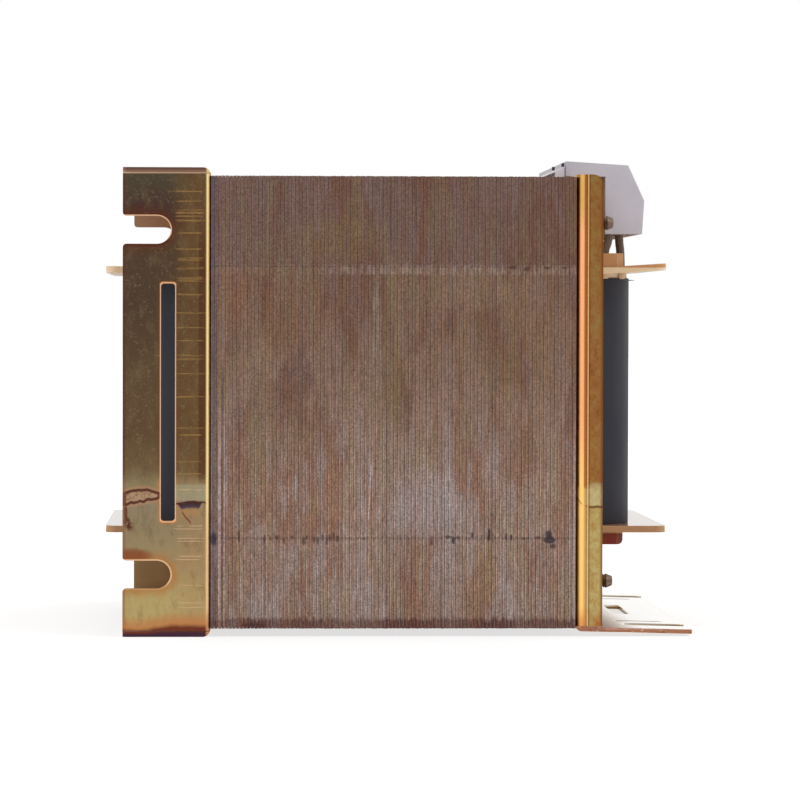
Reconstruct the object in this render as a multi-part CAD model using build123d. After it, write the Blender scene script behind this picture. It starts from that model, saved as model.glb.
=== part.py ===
from build123d import *
import os

# Laminated chassis transformer: an E and I core held between a slotted tray frame and a
# footed frame, with a two-part winding on a moulded former and a screw terminal block.
# Millimetres. +X runs along the stack towards the foot, +Y is away from the viewer, +Z is up.
# The origin is at the middle of the whole part's footprint, on the surface it stands on.

# Small round things that repeat have a few flat sides
round_sides = 12
thin_sides = 8
lead_sides = 6
hole_sides = 4            # holes that their own fastener hides
wire_sides = 4

# Core
leg_unit = 25.0          # width of an outer leg; a scrapless E and I pair is all multiples of it
sheet_pitch = 0.505      # one sheet of steel with its film of varnish
sheets_per_pack = 10     # sheets that lie the same way round
pack_count = 20
edge_step = 0.12         # each second pack stands this much further in
joint_gap = 0.1          # butt joint between an E and its I
bolt_hole = 6.0          # across the flats of the hole through the sheets

# Tray frame with slots, on the left end of the stack
tray_sheet = 1.5
tray_depth = 24.2        # from the end of the stack to the tips of the flanges
tray_bend = 2.2          # outer bend radius
tray_over = 2.15         # outer face of the top and bottom flanges past the core
side_over = 1.0          # outer face of the side flanges past the core, on both frames
corner_slit = 0.15       # between the end of a side flange and the flange above or below it
tip_round = 1.0
u_slot_width = 7.7
u_slot_root = 11.0       # from the end of the stack to the round end of a slot
u_slot_edge = 15.05      # from the core's edge to the middle of a slot
long_slot_near = 9.8     # from the end of the stack
long_slot_width = 3.9
long_slot_length = 65.4
long_slot_round = 0.9

# Footed frame, on the right end of the stack
foot_sheet = 1.2
flange_depth = 7.3       # side flanges, from the end of the stack
flange_bend = 3.2
flange_top_over = 0.6    # top edge of the frame above the core
flange_corner = 2.8
foot_reach = 32.3        # from the end of the stack to the tip of the foot
foot_root_under = 0.7    # underside of the foot below the core, at its bend
foot_droop = 0.75        # further drop of the underside at the tip
foot_bend = 1.7
foot_side_gap = 0.8      # between the end of the foot and the outer face of a side flange
foot_slot_edge = 15.5    # from the core's edge to the middle of a foot slot
foot_slot_root = 13.3
foot_slot_mouth = 1.6    # flare on each side of the mouth
thin_slot_edge = 28.0
thin_slot_width = 2.2
thin_slot_start = 13.0
thin_slot_end = 27.0
cross_slot_start = 16.0
cross_slot_width = 4.7
cross_slot_length = 38.0
cross_slot_round = 0.8
window_side_gap = 0.6    # from the coil former's flange to the frames' windows
window_end_gap = 0.7     # from the coil former's ribs to the frames' windows

# Coil former
former_clear = 0.3       # around the middle leg and at the ends of the window
former_wall = 1.8
former_flange = 1.9
former_side_gap = 1.0    # from a flange to the outer leg
former_reach_left = 29.6
former_reach_right = 27.8
former_corner = 3.0
former_bow_left = 0.6    # rise of the upper flange's free ends
former_bow_right = 1.8
rib_reach = 15.7         # locating ribs on the flanges, from the end of the stack
rib_upper = 4.6          # above the flat of the upper flange
rib_lower = 3.4          # below the flat of the lower flange
rib_clear = 0.3          # from the end of the stack
rib_side_gap = 0.5
rib_chamfer = 2.0
rib_round_upper = 0.5
rib_round_lower = 1.4

# Windings and their insulation, from the inside out
fit_gap = 0.05
inner_build = 8.0
layer_paper = 0.5
outer_build = 7.2
cover_paper = 0.9
tape_build = 0.6
paper_shows = 1.0        # cover paper left bare above the tape
wedge_height = 58.0
wedge_length = 16.0
wedge_gap = 0.2
corner_flats = 6         # short flats that round each corner of the coil

# Clamp bolts
bolt_diameter = 4.0
bolt_past_stack = 11.2
bolt_point = 1.7
bolt_point_diameter = 2.4
nut_bore = 4.1
head_flats = 7.0
head_height = 2.8
nut_height = 3.2
washer_diameter = 9.0
washer_bore = 4.3
washer_thickness = 0.8
sleeve_outer = 5.5
sleeve_bore = 4.3

# Terminal block; reaches are from the end of the stack, and sizes that end in under or drop
# go down from the top of the core, the others up
block_length = 100.0
pole_count = 10
hood_back = 1.0          # free end of the hood, over the stack
hood_top = 5.2
hood_front_top = 4.1
hood_front = 16.6
nose_reach = 21.2
nose_under = 5.9
chin_reach = 20.6
block_under = 15.3
block_back = 10.15
hood_seat = 0.3          # over the frame's top edge
chamber_width = 7.0
chamber_back = 0.8
chamber_front = 1.9
chamber_under = 5.2
entry_width = 3.9
entry_height = 5.0
entry_under = 12.6
driver_bore = 4.6
driver_reach = 14.1      # middle of the clamp screws, from the end of the stack
bracket_count = 3
bracket_width = 6.0
bracket_drop = 12.0
cage_clear = 0.2
cage_wall = 1.1
cage_height = 7.6
screw_diameter = 3.4
screw_head = 4.2
screw_head_height = 2.0
screw_slot = 0.8
tag_width = 3.0
tag_thickness = 0.8
tag_lip = 1.9

# Marker strip behind the hood
strip_length = 96.0
strip_step = 1.5         # highest edge below the hood's top
strip_reach = 4.4
strip_drop = 1.7
strip_thickness = 0.6
strip_web = 2.7
strip_gap = 0.2
peg_width = 0.8
peg_height = 1.0

# Leads
lead_outer = 2.4
lead_bore = 1.3
wire_diameter = 1.2
lead_group_count = 3
poles_per_group = 3      # from one group of leads to the next
inner_lead_top = 11.6    # where a lead leaves the block, from the end of the stack
inner_lead_foot = 10.2   # where it enters the former
inner_lead_lean = 0.4    # lower end of its lean, above the rib's top
outer_lead_top = 15.5
outer_lead_foot = 16.0
outer_lead_lean = 0.4
lead_lean_start = 3.4    # upper end of the lean, above the rib's top
lead_hole = 3.0

# Worked out from the sizes above
core_length = pack_count * sheets_per_pack * sheet_pitch
core_depth = 6 * leg_unit
core_height = 5 * leg_unit
window_height = 3 * leg_unit
left_reach = max(former_reach_left, tray_depth)
right_reach = max(foot_reach, former_reach_right)
stack_left = left_reach - (core_length + left_reach + right_reach) / 2
stack_right = stack_left + core_length
stack_middle = (stack_left + stack_right) / 2
core_under = tray_over
core_top = core_under + core_height
side_face = core_depth / 2 + side_over
bolt_y = core_depth / 2 - leg_unit / 2
bolt_heights = (core_under + leg_unit / 2, core_top - leg_unit / 2)
bolt_places = [(y, z) for y in (-bolt_y, bolt_y) for z in bolt_heights]
former_half = 2 * leg_unit - former_side_gap
former_low = core_under + leg_unit + former_clear
former_high = former_low + window_height - 2 * former_clear
window_half = former_half + window_side_gap
window_low = former_low - rib_lower - window_end_gap
window_high = former_high + rib_upper + window_end_gap
pole_pitch = block_length / pole_count


def span(x, y, z):
    """A box given by its lowest and highest values along each axis."""
    size = [high - low for low, high in (x, y, z)]
    middle = [(high + low) / 2 for low, high in (x, y, z)]
    return Pos(*middle) * Box(*size)


def along_y(profile, length):
    """A profile drawn in X and Z, extruded both ways from y = 0."""
    return extrude(Plane.XZ * profile, length / 2, both=True)


def small_disc(diameter, sides=round_sides):
    """Few-sided outline with its corners on the circle."""
    return RegularPolygon(diameter / 2, sides)


def small_bore(diameter, sides=round_sides):
    """Few-sided outline with its flats on the circle."""
    return RegularPolygon(diameter / 2, sides, major_radius=False)


def bar(outline, start, end, place):
    """An outline in Y and Z made a bar along X at a (y, z) place."""
    return Pos(start, *place) * extrude(Plane.YZ * outline, end - start)


def save(node, pieces):
    """One STEP file for a node: a single solid, or a group of separate ones."""
    pieces = list(pieces)
    shape = pieces[0] if len(pieces) == 1 else Compound(children=pieces)
    shape.label = node
    export_step(shape, f"parts/{node}.step")


def sheet_outline(low, high, inset):
    """Rectangle across the core in Y and Z with the two bolt holes that lie in it."""
    outline = Pos(0, (low + high) / 2) * Rectangle(core_depth - 2 * inset, high - low)
    for y, z in bolt_places:
        height = z - core_under
        if low < height < high:
            outline -= Pos(y, height) * small_bore(bolt_hole, hole_sides)
    return outline


def e_pack(inset):
    """A pack of E sheets with its back at the bottom."""
    outline = sheet_outline(inset, 4 * leg_unit - joint_gap / 2, inset)
    for side in (-1, 1):
        window = Rectangle(leg_unit, window_height)
        outline -= Pos(side * 1.5 * leg_unit, leg_unit + window_height / 2) * window
    return extrude(Plane.YZ * outline, sheets_per_pack * sheet_pitch)


def i_pack(inset):
    """The I sheets that close an upright pack of E sheets."""
    outline = sheet_outline(4 * leg_unit + joint_gap / 2, core_height - inset, inset)
    return extrude(Plane.YZ * outline, sheets_per_pack * sheet_pitch)


def laminations(pack):
    """Packs along the stack, each turned end for end against the one before."""
    upright = pack(0)
    turned = Pos(0, 0, core_height) * mirror(pack(edge_step), Plane.XY)
    pieces = []
    for number in range(pack_count):
        place = Pos(stack_left + number * sheets_per_pack * sheet_pitch, 0, core_under)
        pieces.append(place * (turned if number % 2 else upright))
    return pieces


def bent_channel(near, far, low, high, depth, sheet, radius):
    """Open channel section: a web between low and high, with a leg at each end."""
    way = 1 if far > near else -1
    middle = (low + high) / 2
    outer = Pos((near + far) / 2, middle) * Rectangle(depth, high - low)
    outer = fillet([v for v in outer.vertices() if abs(v.X - far) < 1e-6], radius)
    mouth, wall = near - way, far - way * sheet
    hollow = Rectangle(abs(wall - mouth), high - low - 2 * sheet)
    hollow = Pos((mouth + wall) / 2, middle) * hollow
    hollow = fillet([v for v in hollow.vertices() if abs(v.X - wall) < 1e-6], radius - sheet)
    return outer - hollow


def u_slot(width, root, tip, mouth):
    """Slot along local X, from its round root to an open tip with eased corners."""
    direction = 1 if tip > root else -1
    centre = root + direction * width / 2
    slot = Pos((centre + tip) / 2, 0) * Rectangle(abs(tip - centre), width)
    slot += Pos(centre, 0) * Circle(width / 2)
    slot += Pos(tip + direction / 2, 0) * Rectangle(1, width + 2 * mouth)
    for side in (-1, 1):
        corner = Pos(tip - direction * mouth / 2, side * (width + mouth) / 2)
        ease = corner * Rectangle(mouth, mouth)
        ease -= Pos(tip - direction * mouth, side * (width / 2 + mouth)) * Circle(mouth)
        slot += ease
    return slot


def end_plate_cuts(low_x, high_x):
    """Window for the coil and four bolt holes through an end frame's plate."""
    cuts = [span((low_x, high_x), (-window_half, window_half), (window_low, window_high))]
    hole = small_bore(washer_bore, thin_sides)
    cuts += [bar(hole, low_x, high_x, place) for place in bolt_places]
    return cuts


def tray_frame():
    """Pan of folded sheet: the plate and the four flanges that point away from the core."""
    tip = stack_left - tray_depth
    low, high = 0, core_top + tray_over
    upright = bent_channel(tip, stack_left, low, high, tray_depth, tray_sheet, tray_bend)
    body = along_y(upright, 2 * side_face)
    for side in (-1, 1):
        inner, outer = side * (side_face - tray_bend), side * (side_face + 1)
        body -= span(
            (tip - 1, stack_left + 1),
            sorted((inner, outer)),
            (low + tray_sheet, high - tray_sheet),
        )
    level = bent_channel(
        tip, stack_left, -side_face, side_face, tray_depth, tray_sheet, tray_bend
    )
    side_low = low + tray_sheet + corner_slit
    side_high = high - tray_sheet - corner_slit
    body += Pos(0, 0, side_low) * extrude(level, side_high - side_low)
    body -= end_plate_cuts(stack_left - 2 * tray_bend, stack_left + 1)
    body -= tray_side_slots(tip)
    body -= tray_base_slots(tip)
    return round_tray_tips(body, tip)


def tray_side_slots(tip):
    """Two open slots and a long closed one, through both side flanges."""
    root = stack_left - u_slot_root
    slots = []
    for height in (core_under + u_slot_edge, core_top - u_slot_edge):
        slots.append(Pos(0, height) * u_slot(u_slot_width, root, tip, tip_round))
    middle = stack_left - long_slot_near - long_slot_width / 2
    long_slot = RectangleRounded(long_slot_width, long_slot_length, long_slot_round)
    slots.append(Pos(middle, (core_under + core_top) / 2) * long_slot)
    return [along_y(slot, 4 * side_face) for slot in slots]


def tray_base_slots(tip):
    """Open slots in the bottom flange, in line with those in the foot."""
    root = stack_left - u_slot_root
    cuts = []
    for side in (-1, 1):
        slot = Pos(0, side * (core_depth / 2 - foot_slot_edge))
        slot = slot * u_slot(u_slot_width, root, tip, tip_round)
        cuts.append(Pos(0, 0, -1) * extrude(slot, tray_sheet + 2))
    return cuts


def round_tray_tips(body, tip):
    """Rounds the free corners of the top and bottom flanges, seen from above."""
    corners = [
        edge
        for edge in body.edges().filter_by(Axis.Z)
        if abs(edge.center().X - tip) < 0.01 and abs(abs(edge.center().Y) - side_face) < 0.01
        and edge.length < 2 * tray_sheet
    ]
    return fillet(corners, tip_round)


def foot_profile():
    """Plate and foot in X and Z: the plate stands on the core, the foot leans down."""
    under = core_under - foot_root_under
    tip = stack_right + foot_reach
    top = core_top + flange_top_over
    outline = Polyline(
        (stack_right, top),
        (stack_right, under),
        (tip, under - foot_droop),
        (tip, under - foot_droop + foot_sheet),
        (stack_right + foot_sheet, under + foot_sheet),
        (stack_right + foot_sheet, top),
        close=True,
    )
    face = make_face(outline)
    heel = [v for v in face.vertices() if abs(v.Y - under) < 0.01 and v.X < tip - 1]
    face = fillet(heel, foot_bend)
    inside = [
        v
        for v in face.vertices()
        if abs(v.Y - under - foot_sheet) < 0.01 and abs(v.X - stack_right - foot_sheet) < 0.01
    ]
    return fillet(inside, foot_bend - foot_sheet)


def foot_frame():
    """Plate with narrow side flanges and a wide slotted foot, folded from one sheet."""
    foot_half = side_face - foot_side_gap
    body = along_y(foot_profile(), 2 * foot_half)
    root = core_under - foot_root_under + foot_sheet + corner_slit
    top = core_top + flange_top_over
    for side in (-1, 1):
        inner, outer = side * (side_face - flange_bend), side * (side_face + 1)
        body -= span(
            (stack_right - 1, stack_right + flange_depth),
            sorted((inner, outer)),
            (root, top + 1),
        )
    level = bent_channel(
        stack_right + flange_depth,
        stack_right,
        -side_face,
        side_face,
        flange_depth,
        foot_sheet,
        flange_bend,
    )
    flanges = Pos(0, 0, root) * extrude(level, top - root)
    corners = [
        edge
        for edge in flanges.edges().filter_by(Axis.Y)
        if abs(edge.center().X - stack_right - flange_depth) < 0.01
        and abs(edge.center().Z - top) < 0.01
    ]
    body += fillet(corners, flange_corner)
    body -= end_plate_cuts(stack_right - 1, stack_right + foot_sheet + 1)
    return body - foot_slots()


def foot_slots():
    """Slots in the foot: two open at its tip, two thin ones and one across the middle."""
    tip = stack_right + foot_reach
    slots = []
    for side in (-1, 1):
        place = Pos(0, side * (core_depth / 2 - foot_slot_edge))
        root = stack_right + foot_slot_root
        slots.append(place * u_slot(u_slot_width, root, tip, foot_slot_mouth))
        length = thin_slot_end - thin_slot_start
        centre = stack_right + (thin_slot_start + thin_slot_end) / 2
        place = Pos(centre, side * (core_depth / 2 - thin_slot_edge))
        slots.append(place * SlotOverall(length, thin_slot_width))
    centre = stack_right + cross_slot_start + cross_slot_width / 2
    cross = RectangleRounded(cross_slot_width, cross_slot_length, cross_slot_round)
    slots.append(Pos(centre, 0) * cross)
    depth = foot_droop + 4 * foot_sheet
    under = core_under - foot_root_under - foot_droop - foot_sheet
    return [Pos(0, 0, under) * extrude(slot, depth) for slot in slots]


def flange_profile(outer_face, lift, bow_left, bow_right):
    """Flange section in X and Z: flat in the core, with free ends that may rise.

    outer_face is the flat that faces the yoke, and lift is the way out of the coil."""
    left = stack_left - former_reach_left
    right = stack_right + former_reach_right
    inner_face = outer_face - lift * former_flange
    outline = Polyline(
        (left, outer_face + bow_left),
        (stack_left, outer_face),
        (stack_right, outer_face),
        (right, outer_face + bow_right),
        (right, inner_face + bow_right),
        (stack_right, inner_face),
        (stack_left, inner_face),
        (left, inner_face + bow_left),
        close=True,
    )
    return make_face(outline)


def flange_plan(height, low):
    """Upright block with the flanges' outline, to trim their corners round."""
    length = former_reach_left + core_length + former_reach_right
    middle = stack_middle + (former_reach_right - former_reach_left) / 2
    plan = Pos(middle, 0) * RectangleRounded(length, 2 * former_half, former_corner)
    return Pos(0, 0, low) * extrude(plan, height)


def locating_ribs(face, lift, height, rounding):
    """Ribs across a flange that stand against the ends of the yoke."""
    ribs = []
    for side, end in ((-1, stack_left), (1, stack_right)):
        start = end + side * rib_clear
        length = rib_reach - rib_clear
        size = Rectangle(length, 2 * (former_half - rib_side_gap))
        plan = Pos(start + side * length / 2, 0) * size
        far = [v for v in plan.vertices() if abs(v.X - start) > 0.01]
        plan = chamfer(far, rib_chamfer)
        base = face - lift * former_flange / 2
        rib = Pos(0, 0, base) * extrude(plan, lift * (height + former_flange / 2))
        crest = [
            edge
            for edge in rib.edges().filter_by(Axis.Y)
            if abs(edge.center().Z - face - lift * height) < 0.01
            and abs(edge.center().X - start) > 1
        ]
        ribs.append(fillet(crest, rounding))
    return ribs


def coil_former():
    """Moulded former: a square tube round the middle leg with a flange at each end."""
    height = former_high - former_low
    outer_x = core_length + 2 * (former_clear + former_wall)
    outer_y = 2 * leg_unit + 2 * (former_clear + former_wall)
    body = along_y(
        flange_profile(former_high, 1, former_bow_left, former_bow_right), 2 * former_half
    )
    body += along_y(flange_profile(former_low, -1, 0, 0), 2 * former_half)
    body &= flange_plan(height + 2 * max(former_bow_left, former_bow_right) + 2, former_low - 1)
    tube = RectangleRounded(outer_x, outer_y, former_clear + former_wall)
    body += Pos(stack_middle, 0, former_low) * extrude(tube, height)
    body += locating_ribs(former_high, 1, rib_upper, rib_round_upper)
    body += locating_ribs(former_low, -1, rib_lower, rib_round_lower)
    leg = Rectangle(core_length + 2 * former_clear, 2 * (leg_unit + former_clear))
    body -= Pos(stack_middle, 0, former_low - 1) * extrude(leg, height + 2)
    for place in lead_places():
        foot = Pos(place["foot"], place["y"], former_high - 2 * former_flange)
        body -= foot * extrude(small_bore(lead_hole), 3 * former_flange + rib_upper)
    return body


def coil_layer(inner, build, low, high):
    """One wound layer: a ring of given build outside the inner offset from the tube."""
    ring = coil_outline(inner + build) - coil_outline(inner)
    return Pos(stack_middle, 0, low) * extrude(ring, high - low)


def coil_outline(offset):
    """Outline of the coil at an offset from the tube, its corners rounded in short flats."""
    corner = former_clear + former_wall + offset
    half_x = core_length / 2 + corner
    half_y = leg_unit + corner
    points = []
    for quarter, (way_x, way_y) in enumerate(((1, 1), (-1, 1), (-1, -1), (1, -1))):
        middle = Vector(way_x * (half_x - corner), way_y * (half_y - corner))
        for flat in range(corner_flats + 1):
            turn = 90 * (quarter + flat / corner_flats)
            points.append(middle + Vector(corner, 0).rotate(Axis.Z, turn))
    return make_face(Polyline(*points, close=True))


def coil_layers():
    """Windings, papers and tape from the tube outwards, each with its node's name."""
    low = former_low + former_flange + fit_gap
    high = former_high - former_flange - fit_gap
    order = (
        ("inner_winding", inner_build, high),
        ("layer_insulation", layer_paper, high),
        ("outer_winding", outer_build, high),
        ("cover_insulation", cover_paper, high),
        ("outer_wrap", tape_build, high - paper_shows),
    )
    inner = fit_gap
    for node, build, top in order:
        yield node, coil_layer(inner, build - fit_gap, low, top)
        inner += build


def coil_wedges():
    """Tapered wedges that hold the coil in the two windows, one at each end of each."""
    build = inner_build + layer_paper + outer_build + cover_paper + tape_build
    coil_face = leg_unit + former_clear + former_wall + build
    room = 2 * leg_unit - coil_face
    outer = 2 * leg_unit - wedge_gap
    inner = coil_face + wedge_gap
    low = (former_low + former_high - wedge_height) / 2
    wedges = []
    for end, way in ((stack_left, 1), (stack_right, -1)):
        for side in (-1, 1):
            outline = Polyline(
                (end, side * outer),
                (end, side * inner),
                (end + way * wedge_length, side * (inner + room / 3)),
                (end + way * wedge_length, side * outer),
                close=True,
            )
            wedges.append(Pos(0, 0, low) * extrude(make_face(outline), wedge_height))
    return wedges


def hexagon(flats, thickness, start, place, bore=0.0):
    """Hexagonal head or nut along X from a start value, with an optional bore."""
    outline = RegularPolygon(flats / 2, 6, major_radius=False)
    if bore:
        outline -= small_bore(bore)
    return bar(outline, start, start + thickness, place)


def clamp_bolt(place):
    """Through bolt with its head in the tray and a pointed end past the nut."""
    under_head = stack_left - tray_sheet - washer_thickness
    end = stack_right + bolt_past_stack
    head = hexagon(head_flats, head_height, under_head - head_height, place)
    shank = bar(small_disc(bolt_diameter), under_head, end - bolt_point, place)
    wide = Pos(end - bolt_point, *place) * (Plane.YZ * small_disc(bolt_diameter))
    narrow = Pos(end, *place) * (Plane.YZ * small_disc(bolt_point_diameter))
    return head + shank + loft([wide, narrow])


def washer(start, place):
    """Plain washer along X."""
    ring = small_disc(washer_diameter) - small_bore(washer_bore)
    return bar(ring, start, start + washer_thickness, place)


def bolt_sleeve(place):
    """Insulating tube round the bolt inside the stack."""
    ring = small_disc(sleeve_outer, thin_sides) - small_bore(sleeve_bore, thin_sides)
    return bar(ring, stack_left + fit_gap, stack_right - fit_gap, place)


def pole_places():
    """Middle of each pole along Y."""
    return [(number - (pole_count - 1) / 2) * pole_pitch for number in range(pole_count)]


def chamber_reach():
    """Lowest and highest X of a pole's chamber."""
    return stack_right + block_back + chamber_back, stack_right + chin_reach - chamber_front


def terminal_housing():
    """Moulded body with a hood over the frame's top edge and a chamber for each pole."""
    hood_under = flange_top_over + hood_seat
    points = (
        (-hood_back, hood_top),
        (hood_front, hood_front_top),
        (nose_reach, -nose_under),
        (chin_reach, -block_under),
        (block_back, -block_under),
        (block_back, hood_under),
        (-hood_back, hood_under),
    )
    placed = [(stack_right + x, core_top + z) for x, z in points]
    body = along_y(make_face(Polyline(*placed, close=True)), block_length)
    body += [hood_bracket(y) for y in bracket_places()]
    low, high = chamber_reach()
    for y in pole_places():
        sides = (y - chamber_width / 2, y + chamber_width / 2)
        heights = (core_top - block_under - 1, core_top - chamber_under)
        body -= span((low, high), sides, heights)
        mouth = (core_top - entry_under, core_top - entry_under + entry_height)
        entry = (y - entry_width / 2, y + entry_width / 2)
        body -= span((high - 1, stack_right + nose_reach + 1), entry, mouth)
        driver = Pos(stack_right + driver_reach, y, core_top - chamber_under - 1)
        body -= driver * extrude(small_bore(driver_bore), hood_top + chamber_under + 2)
    return body


def bracket_places():
    """Middle of each bracket along Y."""
    step = block_length / bracket_count
    return [(number - (bracket_count - 1) / 2) * step for number in range(bracket_count)]


def hood_bracket(y):
    """Rib between the block's back and the frame's plate."""
    reach = (stack_right + foot_sheet + hood_seat, stack_right + block_back + 0.5)
    heights = (core_top - bracket_drop, core_top + flange_top_over + hood_seat + 0.5)
    return span(reach, (y - bracket_width / 2, y + bracket_width / 2), heights)


def terminal_cage(y):
    """Clamping cage: a square ring that the conductor enters from the front."""
    low, high = chamber_reach()
    half = chamber_width / 2 - cage_clear
    top = core_top - chamber_under - cage_clear
    ring = Rectangle(2 * half, cage_height)
    ring -= Rectangle(2 * half - 2 * cage_wall, cage_height - 2 * cage_wall)
    place = Pos(low + cage_clear, y, top - cage_height / 2)
    cage = place * extrude(Plane.YZ * ring, high - low - 2 * cage_clear)
    hole = Pos(stack_right + driver_reach, y, top - 1.5 * cage_wall)
    return cage - hole * extrude(small_bore(screw_diameter + 2 * fit_gap, thin_sides), 2 * cage_wall)


def terminal_screw(y):
    """Clamp screw with a slotted head, standing in the driver bore."""
    cage_top = core_top - chamber_under - cage_clear
    thread = cage_wall + cage_height / 4
    place = Pos(stack_right + driver_reach, y, cage_top + fit_gap)
    head = extrude(small_disc(screw_head, thin_sides), screw_head_height)
    slot = Rectangle(2 * screw_head, screw_slot)
    head -= Pos(0, 0, screw_head_height / 2) * extrude(slot, screw_head_height)
    shank = Pos(0, 0, -thread) * extrude(small_disc(screw_diameter, lead_sides), thread)
    return place * (head + shank)


def tag_top():
    """Height of the tags' upper faces, just under the cages."""
    return core_top - chamber_under - cage_clear - cage_height - fit_gap


def terminal_tag(y):
    """Solder tag under the cage, with a lip at the front, for the lead from the coil."""
    low, high = chamber_reach()
    sides = (y - tag_width / 2, y + tag_width / 2)
    top = tag_top()
    front = high - cage_clear
    plate = span((low + cage_clear, front), sides, (top - tag_thickness, top))
    return plate + span((front - tag_thickness, front), sides, (top - tag_lip, top))


def marker_strip():
    """Sloping strip with a web that stands on the core behind the hood."""
    near = stack_right - hood_back - strip_gap
    top = core_top + hood_top - strip_step
    outline = Polyline(
        (near, top),
        (near - strip_reach, top - strip_drop),
        (near - strip_reach, top - strip_drop - strip_thickness),
        (near - strip_web, top - strip_thickness - strip_drop * strip_web / strip_reach),
        (near - strip_web, core_top + strip_gap),
        (near, core_top + strip_gap),
        close=True,
    )
    return along_y(make_face(outline), strip_length)


def strip_pegs():
    """Small square pegs on the strip's slope, a pair at its near end."""
    near = stack_right - hood_back - strip_gap
    top = core_top + hood_top - strip_step
    pegs = []
    for share in (0.11, 0.72):
        x = near - share * strip_reach
        z = top - share * strip_drop
        half = peg_width / 2
        low = z + strip_drop / strip_reach * half + fit_gap
        end = peg_width - strip_length / 2
        pegs.append(span((x - half, x + half), (end - half, end + half), (low, low + peg_height)))
    return pegs


def lead_places():
    """Each lead's Y, the X of its two ends and where its lean ends, group by group."""
    poles = pole_places()
    inner = (inner_lead_top, inner_lead_foot, inner_lead_lean)
    outer = (outer_lead_top, outer_lead_foot, outer_lead_lean)
    places = []
    for group in range(lead_group_count):
        first = group * poles_per_group
        for pole, shape in ((first, inner), (first + 1, inner if group else outer)):
            if pole < pole_count:
                top, foot, lean = shape
                place = {"y": poles[pole], "lean": former_high + rib_upper + lean}
                place["top"] = stack_right + top
                place["foot"] = stack_right + foot
                places.append(place)
    return places


def lead_line(place, high):
    """A lead's line from a height down to the winding, leaning between upright ends."""
    lean_start = former_high + rib_upper + lead_lean_start
    points = (
        (place["top"], place["y"], high),
        (place["top"], place["y"], lean_start),
        (place["foot"], place["y"], place["lean"]),
        (place["foot"], place["y"], former_high - former_flange),
    )
    return FilletPolyline(*points, radius=lead_outer)


def along_lead(line, section):
    """A section carried along a lead's line."""
    return sweep(Plane(origin=line @ 0, z_dir=line % 0) * section, path=line)


def lead_sleeve(place):
    """Insulating sleeve on a lead, from the block's underside through the former's flange."""
    line = lead_line(place, core_top - block_under - fit_gap)
    return along_lead(line, small_disc(lead_outer, lead_sides) - small_bore(lead_bore, lead_sides))


def lead_wire(place):
    """Conductor inside a sleeve, from the winding up to the tag."""
    line = lead_line(place, tag_top() - tag_thickness - fit_gap)
    return along_lead(line, small_disc(wire_diameter, wire_sides))


os.makedirs("parts", exist_ok=True)
save("e_laminations", laminations(e_pack))
save("i_laminations", laminations(i_pack))
save("slotted_tray_frame", [tray_frame()])
save("footed_frame", [foot_frame()])
save("coil_former", [coil_former()])
for layer, solid in coil_layers():
    save(layer, [solid])
save("coil_wedges", coil_wedges())
save("clamp_bolts", [clamp_bolt(place) for place in bolt_places])
save("bolt_sleeves", [bolt_sleeve(place) for place in bolt_places])
head_washer_start = stack_left - tray_sheet - washer_thickness
nut_washer_start = stack_right + foot_sheet
nut_start = nut_washer_start + washer_thickness
save("head_washers", [washer(head_washer_start, place) for place in bolt_places])
save("nut_washers", [washer(nut_washer_start, place) for place in bolt_places])
save(
    "clamp_nuts",
    [hexagon(head_flats, nut_height, nut_start, place, nut_bore) for place in bolt_places],
)
save("terminal_housing", [terminal_housing()])
save("terminal_cages", [terminal_cage(y) for y in pole_places()])
save("terminal_screws", [terminal_screw(y) for y in pole_places()])
save("terminal_tags", [terminal_tag(y) for y in pole_places()])
save("marker_strip", [marker_strip()])
save("strip_pegs", strip_pegs())
save("lead_sleeves", [lead_sleeve(place) for place in lead_places()])
save("lead_wires", [lead_wire(place) for place in lead_places()])
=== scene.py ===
# %% [markdown]
# # A laminated chassis transformer
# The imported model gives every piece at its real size. This lesson dresses it: single steel
# sheets in place of the packs, rounded and stained edges on the folded frames, threads on the
# bolts, and a finish for every surface. Nothing is moved. Each new piece takes its place from
# the boxes of the pieces that it stands for, or from the frame's own millimetres.

# %% Load the frame
import math
import random

import bmesh
import bpy
from mathutils import Matrix, Vector


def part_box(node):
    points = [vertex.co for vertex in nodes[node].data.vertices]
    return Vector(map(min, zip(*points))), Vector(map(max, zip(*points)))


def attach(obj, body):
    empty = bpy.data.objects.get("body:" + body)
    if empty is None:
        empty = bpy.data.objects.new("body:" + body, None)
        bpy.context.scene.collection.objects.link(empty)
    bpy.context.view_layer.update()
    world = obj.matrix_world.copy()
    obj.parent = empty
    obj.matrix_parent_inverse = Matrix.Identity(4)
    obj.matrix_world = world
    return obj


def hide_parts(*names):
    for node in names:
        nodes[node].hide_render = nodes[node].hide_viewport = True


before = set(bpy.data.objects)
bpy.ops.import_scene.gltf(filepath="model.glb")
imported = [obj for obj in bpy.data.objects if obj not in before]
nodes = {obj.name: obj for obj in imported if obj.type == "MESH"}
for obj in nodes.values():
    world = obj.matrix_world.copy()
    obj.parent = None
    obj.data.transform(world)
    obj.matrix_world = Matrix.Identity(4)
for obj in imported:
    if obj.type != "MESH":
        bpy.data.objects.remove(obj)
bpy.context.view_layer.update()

MM = 0.001

# %% [markdown]
# ## Places taken from the frame
# The core is the measure of everything else, so its ends, faces and top are read once from the
# boxes of the E and the I sheets. Later cells name a place by its distance from these, or in
# the frame's own millimetres, where z = 0 is the floor.

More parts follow.
